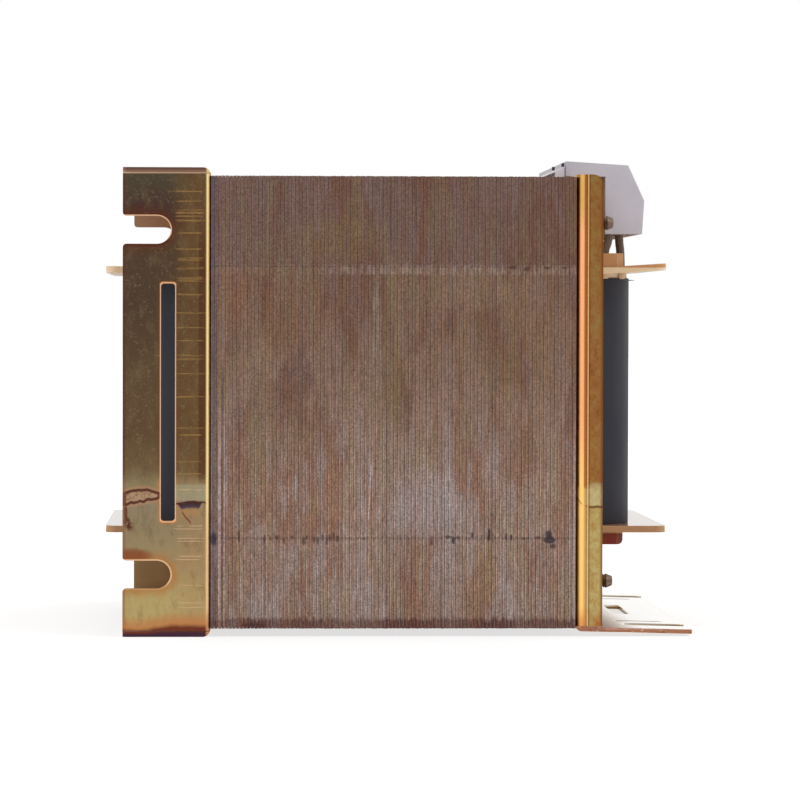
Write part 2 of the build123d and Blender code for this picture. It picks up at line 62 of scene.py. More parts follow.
# %% Read the core's faces
e_low, e_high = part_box("e_laminations")
i_low, i_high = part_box("i_laminations")
STACK_LEFT, STACK_RIGHT = e_low[0], e_high[0]
CORE_NEAR = e_low[1]
CORE_UNDER, CORE_TOP = min(e_low[2], i_low[2]), max(e_high[2], i_high[2])
CORE_MIDDLE = (CORE_UNDER + CORE_TOP) / 2
UNIT = (CORE_TOP - CORE_UNDER) / 5
print("stack in mm:", round((STACK_RIGHT - STACK_LEFT) / MM, 2), "unit:", round(UNIT / MM, 2))

# %% [markdown]
# ## The camera
# The photograph is a long-lens view of the core's near side from just above its middle. The
# camera stands a little left of the core and looks slightly down. It is turned by a seventh of
# a degree, because the real one wasn't quite level.

# %% Place the camera
scene = bpy.context.scene
scene.view_settings.view_transform = "Standard"
camera_place = Vector((-48.8, -1225.0, 88.2)) * MM
camera_target = Vector((0.35, -75.0, 65.37)) * MM
camera_roll = math.radians(0.14)
lens = bpy.data.cameras.new("camera")
lens.lens = 187.7
lens.sensor_width = 36.0
camera = bpy.data.objects.new("camera", lens)
look = (camera_target - camera_place).to_track_quat("-Z", "Y").to_matrix().to_4x4()
camera.matrix_world = Matrix.Translation(camera_place) @ look @ Matrix.Rotation(camera_roll, 4, "Z")
scene.collection.objects.link(camera)
scene.camera = camera
print("camera to target in mm:", round((camera_target - camera_place).length / MM))

# %% [markdown]
# ## Shader maths as plain expressions
# A finish is mostly arithmetic on where a point lies, which is hard to read as a list of nodes.
# Signal wraps an output socket, so that Python's own signs add the Math nodes. Wiring holds the
# nodes of one material or of the world, and one method makes every other kind of node.

# %% Signal and Wiring
def sign(operation):
    """The method for one of Python's signs: it adds a Math node."""
    return lambda self, *others: self.math(operation, *others)


class Signal:
    """An output socket on which Python's signs add Math nodes."""

    def __init__(self, wiring, socket):
        self.wiring = wiring
        self.socket = socket

    def math(self, operation, *others):
        """A Math node with this value as its first."""
        return self.wiring.math(operation, self, *others)

    def __rsub__(self, other):
        return self.wiring.math("SUBTRACT", other, self)

    __add__ = __radd__ = sign("ADD")
    __sub__ = sign("SUBTRACT")
    __mul__ = __rmul__ = sign("MULTIPLY")
    __truediv__ = sign("DIVIDE")
    __abs__ = sign("ABSOLUTE")

    def ease(self, start, end):
        """0 up to start, 1 from end on, smooth between; start may lie above end."""
        settings = {"interpolation_type": "SMOOTHSTEP"}
        return self.wiring.node("ShaderNodeMapRange", settings, {0: self, 1: start, 2: end})

    def between(self, low, high, soft):
        """1 from low to high, falling to 0 over a soft width outside."""
        return self.ease(low - soft, low) * self.ease(high + soft, high)

    def near(self, middle, half):
        """1 within half of the middle, with a hard edge."""
        return self.math("COMPARE", middle, half)

    def rise(self, start, end):
        """As ease, in millimetres."""
        return self.ease(start * MM, end * MM)

    def within(self, low, high, soft):
        """As between, in millimetres."""
        return self.between(low * MM, high * MM, soft * MM)

    def line(self, middle, half):
        """As near, in millimetres."""
        return self.near(middle * MM, half * MM)

    def toned(self, share, *tone):
        """This colour under a share of another, a Signal or a colour as it shows on screen."""
        over = tone[0] if len(tone) == 1 else shown(*tone)
        return self.wiring.mix(share, self, over)


class Wiring:
    """The nodes of one material or of the world."""

    def __init__(self, tree):
        self.tree = tree

    def node(self, kind, settings=None, sockets=None, output=0):
        """Any node: its settings first, then the values or links of its sockets."""
        made = self.tree.nodes.new(kind)
        for label, value in (settings or {}).items():
            setattr(made, label, value)
        for key, value in (sockets or {}).items():
            self.plug(made.inputs[key], value)
        return Signal(self, made.outputs[output])

    def plug(self, socket, value):
        if isinstance(value, Signal):
            self.tree.links.new(value.socket, socket)
        elif socket.type == "RGBA":
            socket.default_value = (*value, 1.0)
        else:
            socket.default_value = value

    def math(self, operation, *values):
        return self.node("ShaderNodeMath", {"operation": operation}, dict(enumerate(values)))

    def mix(self, factor, low, high, blend="MIX"):
        settings = {"data_type": "RGBA", "blend_type": blend}
        return self.node("ShaderNodeMix", settings, {0: factor, 6: low, 7: high}, output=2)

    def tones(self, factor, low, high):
        """A mix of two colours as they show on screen."""
        return self.mix(factor, shown(*low), shown(*high))

    def ramp(self, value, *stops):
        """A colour ramp; each stop is a position and a colour as it shows on screen."""
        ramp = self.node("ShaderNodeValToRGB", {}, {0: value})
        elements = ramp.socket.node.color_ramp.elements
        while len(elements) < len(stops):
            elements.new(1.0)
        for element, (position, *colour) in zip(elements, stops):
            element.position = position
            element.color = (*shown(*colour), 1.0)
        return ramp


def combined(operation, signals):
    """All Signals of a list in one, two at a time."""
    total, *others = signals
    for signal in others:
        total = total.math(operation, signal)
    return total


# %% [markdown]
# ## A finish and the helpers that all finishes use
# Every finish starts from the Principled shader. What is the same all over goes straight on
# the shader's sockets, and what varies is worked out from Object coordinates, which are
# the frame's own metres, because no piece is moved. Colours are written as they show on
# screen, from 0 to 255, and turned into the linear values that the shader wants. Most small
# parts have two tones in soft lumps, and one function makes such a finish.

# %% Finish
def shown(red, green, blue):
    """Linear colour for a colour given as it shows on screen."""
    linear = []
    for value in (red, green, blue):
        share = value / 255
        linear.append(share / 12.92 if share <= 0.04045 else ((share + 0.055) / 1.055) ** 2.4)
    return tuple(linear)


class Finish(Wiring):
    """A material on the Principled shader that reads Object coordinates."""

    def __init__(self, name, **constants):
        self.material = bpy.data.materials.new(name)
        self.material.use_nodes = True
        super().__init__(self.material.node_tree)
        self.shader = self.tree.nodes["Principled BSDF"]
        for label, value in constants.items():
            self.plug(self.shader.inputs[label.replace("_", " ")], value)
        self.point = self.node("ShaderNodeTexCoord", output="Object")
        parts = [self.node("ShaderNodeSeparateXYZ", {}, {0: self.point}, axis) for axis in "XYZ"]
        self.x, self.y, self.z = parts

    def feed(self, label, value):
        self.plug(self.shader.inputs[label], value)

    def noise(self, size, detail=2.0, rough=0.5, shift=0.0):
        """Noise whose lumps have the given size in millimetres along X, Y and Z."""
        scale = [1 / (length * MM) for length in size]
        sockets = {"Vector": self.point, "Location": (shift, shift, shift), "Scale": scale}
        place = self.node("ShaderNodeMapping", {}, sockets)
        sockets = {"Vector": place, "Scale": 1.0, "Detail": detail, "Roughness": rough}
        return self.node("ShaderNodeTexNoise", {}, sockets)

    def spot(self, x, z, half_x, half_z, soft=0.5):
        """A soft round mark seen from the side, at a place in millimetres."""
        across = (self.x - x * MM) / (half_x * MM)
        up = (self.z - z * MM) / (half_z * MM)
        return (across * across + up * up).ease(1 + soft, 1 - soft)

    def slot_gap(self, end_x, z, radius):
        """Distance in metres from a slot that is open to the left and ends in a half circle."""
        across = (self.x - (end_x - radius) * MM).math("MAXIMUM", 0.0)
        up = self.z - z * MM
        return (across * across + up * up).math("SQRT") - radius * MM

    def window_gap(self, x, z, half_x, half_z, corner):
        """Distance in metres from an upright opening with rounded corners."""
        across = (abs(self.x - x * MM) - (half_x - corner) * MM).math("MAXIMUM", 0.0)
        up = (abs(self.z - z * MM) - (half_z - corner) * MM).math("MAXIMUM", 0.0)
        return (across * across + up * up).math("SQRT") - corner * MM

    def bump(self, height, distance, strength=1.0):
        sockets = {"Height": height, "Distance": distance * MM, "Strength": strength}
        self.feed("Normal", self.node("ShaderNodeBump", {}, sockets))

    def attribute(self, name):
        return self.node("ShaderNodeAttribute", {"attribute_name": name}, output="Fac")


def mottled(name, lumps, dark, light, rough=None, **constants):
    """A finish of two tones in soft lumps; rough is its least roughness and what lumps add."""
    finish = Finish(name, **constants)
    finish.lumps = finish.noise(*lumps)
    finish.feed("Base Color", finish.tones(finish.lumps, dark, light))
    if rough:
        finish.feed("Roughness", rough[0] + rough[1] * finish.lumps)
    return finish


def wear(piece, finish):
    """Gives a piece one finish all over."""
    piece.data.materials.clear()
    piece.data.materials.append(finish.material)


# %% [markdown]
# ## Studio light
# The real one stood before a white backdrop in soft light from above. Three large lamps light it
# at a plain level, and the world fills the rest. Camera rays see pure white. Reflections see
# the same white at the sides and behind, and a dimmer room in front, which gives flat bright
# metal its depth and adds to the painted highlights on the folds.

# %% World
world = bpy.data.worlds.new("studio")
world.use_nodes = True
scene.world = world
air = Wiring(world.node_tree)
WORLD_FILL = 0.62
ROOM_IN_FRONT = 0.5
way = air.node("ShaderNodeSeparateXYZ", {}, {0: air.node("ShaderNodeTexCoord")}, "Y")
mirror_level = 1 - (1 - ROOM_IN_FRONT) * way.ease(-0.55, -0.9)
seen = air.node("ShaderNodeLightPath", output="Is Camera Ray")
through = air.node("ShaderNodeLightPath", output="Is Transmission Ray")
mirrored = air.node("ShaderNodeLightPath", output="Is Glossy Ray")
direct = seen.math("MAXIMUM", through)
level = direct + (1 - direct) * (mirrored * mirror_level + (1 - mirrored) * WORLD_FILL)
backdrop = world.node_tree.nodes["Background"]
air.plug(backdrop.inputs["Color"], (1.0, 1.0, 1.0))
air.plug(backdrop.inputs["Strength"], level)


# %% Lamps
def lamp(name, place, size, power):
    """A square soft lamp that faces the object."""
    light = bpy.data.lights.new(name, "AREA")
    light.size = size
    light.energy = power
    holder = bpy.data.objects.new(name, light)
    place = Vector(place)
    aim = (Vector((0, 0, 0.06)) - place).to_track_quat("-Z", "Y").to_matrix().to_4x4()
    holder.matrix_world = Matrix.Translation(place) @ aim
    holder.visible_camera = False
    scene.collection.objects.link(holder)
    return holder


lamps = [
    lamp("lamp_left", (-1.3, -1.0, 1.1), 0.9, 9.0),
    lamp("lamp_right", (1.4, -0.7, 1.2), 0.9, 9.0),
    lamp("lamp_top", (0.1, 0.5, 1.5), 1.2, 9.0),
]
print("lamps:", [item.name for item in lamps])


# %% [markdown]
# ## Floor
# A plain white floor, one square. For the camera and for reflections it glows just enough to
# read as white where nothing shades it, and the diffuse share keeps the object's soft shadow.
# That share fades out away from the object, so that no horizon shows.

# %% Floor
def baked(name, mesh):
    """Mesh data made from a bmesh, which is freed."""
    data = bpy.data.meshes.new(name)
    mesh.to_mesh(data)
    mesh.free()
    return data


def finished_piece(name, mesh):
    """Turns a bmesh into an object at the origin."""
    piece = bpy.data.objects.new(name, baked(name, mesh))
    scene.collection.objects.link(piece)
    return piece


FLOOR_HALF = 8.0
SHADOW_SHARE = 0.62
mesh = bmesh.new()
bmesh.ops.create_grid(mesh, x_segments=1, y_segments=1, size=FLOOR_HALF)
floor = finished_piece("floor", mesh)
paint = Finish("floor_white", Base_Color=(0.9, 0.9, 0.9), Roughness=0.9, Specular_IOR_Level=0.0)
glow = paint.node("ShaderNodeEmission", {}, {"Color": (1.0, 1.0, 1.0), "Strength": 1.15})
seen = paint.node("ShaderNodeLightPath", output="Is Camera Ray")
mirrored = paint.node("ShaderNodeLightPath", output="Is Glossy Ray")
away = paint.node("ShaderNodeVectorMath", {"operation": "LENGTH"}, {0: paint.point}, output=1)
spread = SHADOW_SHARE + (1 - SHADOW_SHARE) * away.ease(0.16, 0.5)
share = seen.math("MAXIMUM", mirrored) * spread
plain = Signal(paint, paint.shader.outputs[0])
blend = paint.node("ShaderNodeMixShader", {}, {0: share, 1: plain, 2: glow})
paint.plug(paint.tree.nodes["Material Output"].inputs["Surface"], blend)
wear(floor, paint)


# %% [markdown]
# ## Putting a piece in the frame
# Every new piece rides on the one body and stands for the nodes that it replaces.

# %% settle
def settle(piece, finish, slot, *replaced):
    wear(piece, finish)
    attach(piece, "root")
    if replaced:
        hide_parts(*replaced)
    faces = len(piece.data.polygons)
    print(piece.name, "faces:", faces, "stands for:", ", ".join(replaced) or "nothing")
    return piece


# %% [markdown]
# ## The sheets of the core
# A core is punched from thin steel. Each layer is an E and an I that meet in a butt joint, and
# each next layer is turned end for end, so a joint shows on every second sheet. One layer
# is drawn as a grid of 6 by 5 units, because both shapes are made of whole units: the
# windows' cells are deleted and the joint is split open. The flat layer is extruded
# to a sheet, and the sheet is repeated with small slips, because no real stack is flush.

# %% One layer of the core
SHEET_COUNT = 200
SHEET_PITCH = (STACK_RIGHT - STACK_LEFT) / SHEET_COUNT
SHEET_THICK = 0.46 * MM
JOINT_OPEN = 0.05 * MM
HOLE = 6.0 * MM


def core_layer(thickness, shy=0.0):
    """One flat layer at x = 0, its E standing on its back, extruded to a thickness."""
    mesh = bmesh.new()
    turn = Matrix(((0, 0, 1, 0), (6 * UNIT, 0, 0, 0), (0, 5 * UNIT, 0, 0), (0, 0, 0, 1)))
    bmesh.ops.create_grid(mesh, x_segments=6, y_segments=5, size=0.5, matrix=turn)
    windows, corners = [], []
    for face in mesh.faces:
        middle = face.calc_center_median()
        column, row = math.floor(abs(middle.y) / UNIT), abs(round(middle.z / UNIT))
        if column == 1 and row < 2:
            windows.append(face)
        elif column == 2 and row == 2:
            corners.append(face)
    bmesh.ops.delete(mesh, geom=windows, context="FACES")
    bmesh.ops.inset_individual(mesh, faces=corners, thickness=(UNIT - HOLE) / 2)
    bmesh.ops.delete(mesh, geom=corners, context="FACES")
    joint = 1.5 * UNIT
    seam = [e for e in mesh.edges if all(abs(v.co.z - joint) < JOINT_OPEN for v in e.verts)]
    bmesh.ops.split_edges(mesh, edges=seam)
    for face in mesh.faces:
        side = 1 if face.calc_center_median().z > joint else -1
        for vert in face.verts:
            if abs(vert.co.z - joint) < JOINT_OPEN / 4:
                vert.co.z += side * JOINT_OPEN / 2
    merge_flats(mesh, 1)
    if shy:
        rim = bmesh.ops.inset_region(mesh, faces=mesh.faces[:], thickness=shy, use_boundary=True)
        bmesh.ops.delete(mesh, geom=rim["faces"], context="FACES")
    raised = bmesh.ops.extrude_face_region(mesh, geom=mesh.faces[:])["geom"]
    raised = [item for item in raised if isinstance(item, bmesh.types.BMVert)]
    bmesh.ops.translate(mesh, verts=raised, vec=(thickness, 0, 0))
    bmesh.ops.recalc_face_normals(mesh, faces=mesh.faces[:])
    return baked("core_layer", mesh)


def merge_flats(mesh, degrees):
    """Joins neighbouring faces that meet at less than an angle."""
    angle = math.radians(degrees)
    bmesh.ops.dissolve_limit(mesh, angle_limit=angle, verts=mesh.verts[:], edges=mesh.edges[:])


layer = core_layer(SHEET_THICK)
print("one layer has", len(layer.vertices), "points and", len(layer.polygons), "faces")


# %% Stack the layers
SLIP = 0.07 * MM
PAIR_SHIFT = 0.42
PAIR_SLIP = 0.3
SLIP_USED = 0.7
draw = random.Random(7)
mesh = bmesh.new()
room = SHEET_PITCH - SHEET_THICK
shrink = 1 - SLIP / (3 * UNIT)
for number in range(SHEET_COUNT):
    mesh.from_mesh(layer)
    mesh.verts.ensure_lookup_table()
    over = number % 2
    way = 1 if over else -1
    place = STACK_LEFT + number * SHEET_PITCH + room / 2 - way * PAIR_SHIFT * room
    slip_y = draw.uniform(-SLIP, SLIP) + way * PAIR_SLIP * SLIP
    slip_z = draw.uniform(-SLIP, SLIP)
    pose = Matrix.Rotation(math.pi * over, 4, "X") @ Matrix.Diagonal((1, shrink, shrink, 1))
    move = Matrix.Translation((place, slip_y * SLIP_USED, CORE_MIDDLE + slip_z * SLIP_USED))
    bmesh.ops.transform(mesh, matrix=move @ pose, verts=mesh.verts[-len(layer.vertices):])
sheet_stack = finished_piece("sheet_stack", mesh)
print("sheets in the stack:", SHEET_COUNT, "faces:", len(sheet_stack.data.polygons))

# %% [markdown]
# ## Varnish between the sheets
# The dip filled the gaps between the sheets, so no light comes through the stack. A second
# copy of the layer, shy of every edge and nearly as thick as the stack, is that varnish.

# %% Varnish in the gaps
VARNISH_SHY = 0.7 * MM
mesh = bmesh.new()
mesh.from_mesh(core_layer(STACK_RIGHT - STACK_LEFT - 2 * VARNISH_SHY, VARNISH_SHY))
place = (STACK_LEFT + VARNISH_SHY, 0, CORE_MIDDLE)
bmesh.ops.translate(mesh, verts=mesh.verts[:], vec=place)
gap_varnish = finished_piece("gap_varnish", mesh)
lumps = (0.8, 0.8, 0.8), 2.0, 0.5
varnish = mottled("dark_varnish", lumps, (30, 18, 26), (62, 40, 40), Roughness=0.3, IOR=1.5)
settle(gap_varnish, varnish, "core_steel")

# %% [markdown]
# ## The finish of the sheet edges
# The sheets' cut edges were dipped in brown varnish, and no two sheets took it alike. The
# finish has four layers: a tone for each sheet from its number, with painted shade in the gaps
# between sheets and a painted highlight beside each deep gap, tall streaks that run over
# several sheets, the plum, olive and grey zones of the face, and the dark drips along the
# joint lines. A sheet's number is its place along X divided by the pitch.

# %% Core finish: the sheets' lines, painted shade in the gaps and painted highlights beside them
core = Finish("varnished_sheets", Metallic=0.3, IOR=1.5)
layer_place = (core.x - STACK_LEFT) / SHEET_PITCH
layer_number = layer_place.math("FLOOR")
chance = core.node("ShaderNodeTexWhiteNoise", {"noise_dimensions": "1D"}, {"W": layer_number})
second = layer_number.math("FLOORED_MODULO", 2.0)
pair = layer_place * 0.5
from_pair = (pair + 0.5).math("FRACT") - 0.5
# Painted shade: a dark line in the deep gap after every second sheet, and a fainter one between the two
# sheets of a pair.
deep_gap_shade = abs(from_pair).ease(0.18, 0.05)
from_sheet = pair.math("FRACT") - 0.5
thin_gap_shade = abs(from_sheet).ease(0.13, 0.03)
breaks = core.noise((0.6, 60, 3.4), 3.0, 0.6, 1.0)
broad = core.noise((9, 60, 30), 3.0, 0.55, 3.0)
patch = core.noise((4, 60, 22), 3.0, 0.6, 8.0)
small = core.noise((1.3, 60, 13), 3.0, 0.6, 13.0)
flecks = core.noise((0.55, 60, 4.5), 2.0, 0.6, 9.0)
speck = core.noise((0.55, 0.55, 0.6), 2.0, 0.8)
fade = core.noise((14, 60, 24), 2.0, 0.5, 11.0)
low_half = core.z.rise(72, 38)
mid_part = core.z.rise(106, 78)
# Painted highlight: a pale line just beside each deep gap, where a sheet's edge would catch the light.
gap_edge_highlight = abs(from_pair - 0.2).ease(0.14, 0.04)
gap_shade_depth = 0.06 + 0.1 * mid_part + 0.2 * low_half + 0.16 * fade.ease(0.4, 0.62)
shade = 1.0 - deep_gap_shade * gap_shade_depth * breaks.ease(0.3, 0.55)
shade = shade - thin_gap_shade * (0.06 + 0.18 * low_half)
edge_highlight_depth = 0.07 + 0.2 * mid_part + 0.26 * low_half
shade = shade + gap_edge_highlight * edge_highlight_depth * breaks.ease(0.66, 0.4)
shade = shade + (0.12 + 0.1 * low_half) * flecks.ease(0.55, 0.68)
shade = (shade + 0.09 * (chance - 0.5)) * (0.06 + 1.8 * speck)

# %% Core finish: zones of the face
height_share = (core.z - CORE_UNDER) / (CORE_TOP - CORE_UNDER)
ZONES = (
    (0, 154, 129, 117), (0.30, 153, 128, 116), (0.44, 145, 117, 101), (0.62, 132, 102, 82),
    (0.797, 127, 95, 74), (0.801, 117, 87, 75), (1, 114, 85, 75),
)
rust = core.tones(low_half, (108, 70, 52), (140, 100, 78))
ochre = core.tones(low_half, (122, 102, 76), (154, 132, 104))
lilac = core.tones(low_half, (122, 101, 97), (164, 151, 148))
body = (
    core.ramp(height_share, *ZONES)
    .toned(broad.ease(0.48, 0.58) * 0.72, rust)
    .toned(patch.ease(0.5, 0.62) * 0.5, ochre)
    .toned(patch.ease(0.47, 0.35) * (0.35 + 0.22 * low_half), lilac)
    .toned(small.ease(0.52, 0.64) * 0.42, rust)
    .toned(small.ease(0.46, 0.36) * 0.3, lilac)
)
PATCHES = (
    (-16, 109.5, 11, 6.5, 0.45, 126, 102, 66), (-45, 93.5, 2.4, 8.5, 0.5, 134, 82, 58),
    (-38, 60, 4, 22, 0.3, 146, 128, 96), (-1.5, 80, 2.4, 24, 0.45, 136, 116, 80),
    (-6.2, 85, 1.2, 14, 0.36, 160, 150, 142), (7.5, 36, 7.5, 9, 0.5, 170, 160, 164),
    (-30, 88, 9, 10, 0.35, 120, 80, 52), (34, 70, 8, 26, 0.25, 138, 104, 70),
    (20, 96, 16, 6, 0.3, 146, 124, 100), (24, 18, 3, 9, 0.4, 150, 120, 80),
    (41.5, 20, 5, 8, 0.45, 140, 98, 76), (4, 14, 4, 7, 0.35, 140, 96, 76),
    (-37, 18, 6, 8, 0.3, 150, 112, 90), (-18, 38, 3, 9, 0.45, 146, 100, 74),
)
for x, z, half_x, half_z, strength, *tone in PATCHES:
    around = core.spot(x, z, half_x, half_z, 0.9) * small.ease(0.34, 0.5)
    body = body.toned(around * strength, *tone)
body = body.toned(core.x.rise(-50.0, -50.4) * 0.5, 84, 70, 82)
print("core finish has", len(core.tree.nodes), "nodes so far")

# %% Core finish: joint lines and drips
joint_high = CORE_TOP - UNIT
joint_low = CORE_UNDER + UNIT
right_part = core.x.rise(-24, -16)
pale_band = core.z.between(joint_high - 1.9 * MM, joint_high + 0.2 * MM, 0.5 * MM)
pale_share = (0.1 + 0.9 * flecks.ease(0.42, 0.58)) * (0.3 + 0.7 * right_part)
body = body.toned(pale_band * pale_share * 0.24, 184, 168, 162)
ragged = core.noise((0.8, 60, 0.9), 2.0, 0.6, 5.0)
dark_joint = core.z.near(joint_high, 0.16 * MM) * ragged.ease(0.4, 0.6)
stain = dark_joint * 0.25
dots = core.z.near(joint_low, 0.34 * MM) * (0.25 + 0.75 * deep_gap_shade)
stain = stain.math("MAXIMUM", dots * ragged.ease(0.3, 0.5) * 0.85)
RED_DRIPS = (
    (-44, 27.6, 0.35, 1.4), (-37, 26.9, 0.35, 1.2), (-35.3, 27.2, 0.3, 0.6), (-33.6, 27.4, 0.5, 0.6),
    (-31.6, 26.6, 0.3, 0.9), (-29.4, 27.4, 0.4, 0.5), (-26.2, 26.5, 0.45, 1.2), (-25.3, 27.3, 0.3, 0.6),
    (-23.2, 26.7, 0.3, 1), (-22.2, 26.5, 0.3, 1.2), (-21, 27.3, 0.35, 0.9), (-19.9, 26.5, 0.3, 1.2),
    (-19, 27.2, 0.3, 1), (-18, 27.6, 0.35, 1.3), (-16.9, 27, 0.4, 0.9), (-9.5, 27, 0.4, 0.4),
    (9, 26.3, 0.5, 1.3), (13.8, 27.5, 1, 0.5), (16.5, 27.3, 0.7, 0.4), (24.9, 27.2, 0.4, 0.7),
    (29.8, 27.6, 0.4, 1), (34.8, 27.1, 0.8, 0.4), (38.6, 27.3, 1, 0.4), (31.2, 102, 1.3, 0.5),
    (35.2, 101.5, 0.9, 0.5), (41, 101.9, 0.8, 0.4), (45.8, 102, 0.9, 0.4), (42.8, 25, 0.9, 0.7),
)
drips = [core.spot(*place, 0.8) * breaks.ease(0.2, 0.42) * 0.75 for place in RED_DRIPS]
body = body.toned(combined("MAXIMUM", [stain, *drips]), 76, 38, 34)
NAVY_DRIPS = (
    (15.2, 26.6, 0.45, 1.1), (20.4, 28, 0.3, 0.9), (25.1, 28.3, 0.35, 1.7), (31.2, 27.4, 0.3, 0.9),
    (41.8, 26.7, 1.8, 0.9), (41.6, 28.4, 0.9, 0.9), (-51, 27, 0.9, 1.8), (-39.8, 2.9, 3.2, 0.9),
)
blot = combined("MAXIMUM", [core.spot(*place, 0.7) for place in NAVY_DRIPS])
body = body.toned(blot * 0.85, 44, 34, 50)
print("drips on the core:", len(RED_DRIPS) + len(NAVY_DRIPS))

# %% Core finish: long marks and the bottom band
SEAMS = (
    (-44.1, 29, 62, 0.4), (-36.9, 4, 26, 0.35), (-3.2, 4, 62, 0.4), (12, 4, 55, 0.4), (25.8, 4, 70, 0.4),
    (-2.2, 108, 126, 0.45), (-4.6, 104, 124, 0.35), (-7, 106, 126, 0.25), (46.2, 4, 60, 0.3),
    (-50.3, 3, 90, 0.5), (-48.5, 3, 72, 0.6), (38, 4, 26, 0.3), (-30.4, 60, 98, 0.25), (14.6, 60, 98, 0.25),
)
seams = [core.x.line(x, 0.18) * core.z.within(low, high, 5) * share for x, low, high, share in SEAMS]
body = body.toned(combined("MAXIMUM", seams), 70, 44, 50)
pale_lines = core.x.line(-49.4, 0.3) + core.x.line(48.7, 0.2)
pale_lines = pale_lines + core.x.line(-48.1, 0.14)
scratch = (core.x - 0.05 * core.z).line(-9.9, 0.16)
scratch = scratch * core.z.within(33, 46, 2)
body = body.toned(pale_lines * low_half * 0.45 + scratch * 0.5, 206, 192, 194)
sag = (small - 0.5) * (2.2 * MM) + (chance - 0.5) * (0.8 * MM)
foot_band = (core.z + sag).ease(CORE_UNDER + 3.5 * MM, CORE_UNDER + 1.9 * MM)
band_share = 0.62 + 0.2 * fade.ease(0.4, 0.6)
POOLS = (4, 11), (-40, 4), (28, 6)
for x, half in POOLS:
    pool = abs(core.x - x * MM).rise(half, 0.4 * half)
    band_share = band_share + 0.28 * pool
band_share = band_share.math("MINIMUM", 0.95) * (1 - 0.3 * second)
body = body.toned(foot_band * band_share, 88, 42, 34)
tone = core.node("ShaderNodeCombineColor", {}, {0: shade, 1: shade, 2: shade})
core.feed("Base Color", core.mix(1.0, body, tone, "MULTIPLY"))
core.feed("Roughness", 0.7 - 0.25 * speck + 0.1 * patch)
core.bump(speck, 0.05, 0.6)
settle(sheet_stack, core, "core_steel", "e_laminations", "i_laminations")
print("core finish has", len(core.tree.nodes), "nodes")


# %% [markdown]
# ## Folded frames: from a CAD mesh to rounded sheet
# Both end frames keep the CAD shape. Its mesh is loose triangles, so a copy is merged,
# flat neighbours are dissolved into single faces, and then every sharp edge is bevelled,
# which sheet metal always has a little of. The bevel's own faces get an attribute called rim,
# so the finish can colour the rounded edges apart, mostly with a painted highlight.

# %% dressed_copy
MERGE = 0.002 * MM
SHARP = math.radians(28)


def dressed_copy(node, name, rounding, segments=2):
    """A merged copy of a CAD piece with its sharp edges rounded and marked as rim."""
    mesh = bmesh.new()
    mesh.from_mesh(nodes[node].data)
    bmesh.ops.remove_doubles(mesh, verts=mesh.verts[:], dist=MERGE)
    merge_flats(mesh, 0.5)
    sharp = [e for e in mesh.edges if e.is_manifold and e.calc_face_angle() > SHARP]
    rim = mesh.faces.layers.float.new("rim")
    made = bmesh.ops.bevel(
        mesh, geom=sharp, affect="EDGES", offset=rounding * MM, segments=segments,
        profile=0.5, material=-1, clamp_overlap=True,
    )
    for face in made["faces"]:
        face[rim] = 1.0
    piece = smooth_piece(name, mesh, 50)
    piece.modifiers.new("even_normals", "WEIGHTED_NORMAL").keep_sharp = True
    return piece


def smooth_piece(name, mesh, degrees):
    """A piece that is shaded smooth, apart from edges sharper than an angle."""
    for face in mesh.faces:
        face.smooth = True
    piece = finished_piece(name, mesh)
    piece.data.set_sharp_from_angle(angle=math.radians(degrees))
    return piece


tray = dressed_copy("slotted_tray_frame", "tray_frame_sheet", 0.16)
foot = dressed_copy("footed_frame", "foot_frame_sheet", 0.14)
print("tray faces:", len(tray.data.polygons), "foot faces:", len(foot.data.polygons))

# %% [markdown]
# ## Yellow chromate on zinc
# The frames are zinc plated and passivated yellow, and then the varnish of the core ran over
# them. Real chromate is a thin film, so its colour drifts from olive through gold to pink
# and orange, and it is darkest where varnish lies over it. The finish starts from that drift
# and then adds this object's marks by height: the dark upper part of the tray, which is partly
# varnish and partly a painted reflection of the dim room in front, the dried puddle and tide
# line, the paler part below them, which is partly a painted reflection of the white floor, and
# the scratches beside the fold. It also paints highlights on the fold and on the rims of the
# slots and edges.

# %% Tray finish: tones by height
zinc = Finish("tray_chromate", Metallic=1.0)
near_side = zinc.y.ease(CORE_NEAR + 1.5 * MM, CORE_NEAR - 0.2 * MM)
far_half = zinc.y.rise(50, 70)
drift = zinc.noise((11, 11, 14), 3.0, 0.6)
fine = zinc.noise((0.7, 0.7, 0.7), 3.0, 0.65)
grain = zinc.noise((2.2, 2.2, 5), 3.0, 0.65, 4.0)
cloth = zinc.noise((5, 5, 9), 3.0, 0.6, 7.0)
GOLDS = (0.28, 168, 138, 80), (0.44, 182, 150, 84), (0.56, 194, 162, 96), (0.72, 194, 152, 106)
gold = zinc.ramp(drift, *GOLDS)
TRAY_TALL = 130 * MM
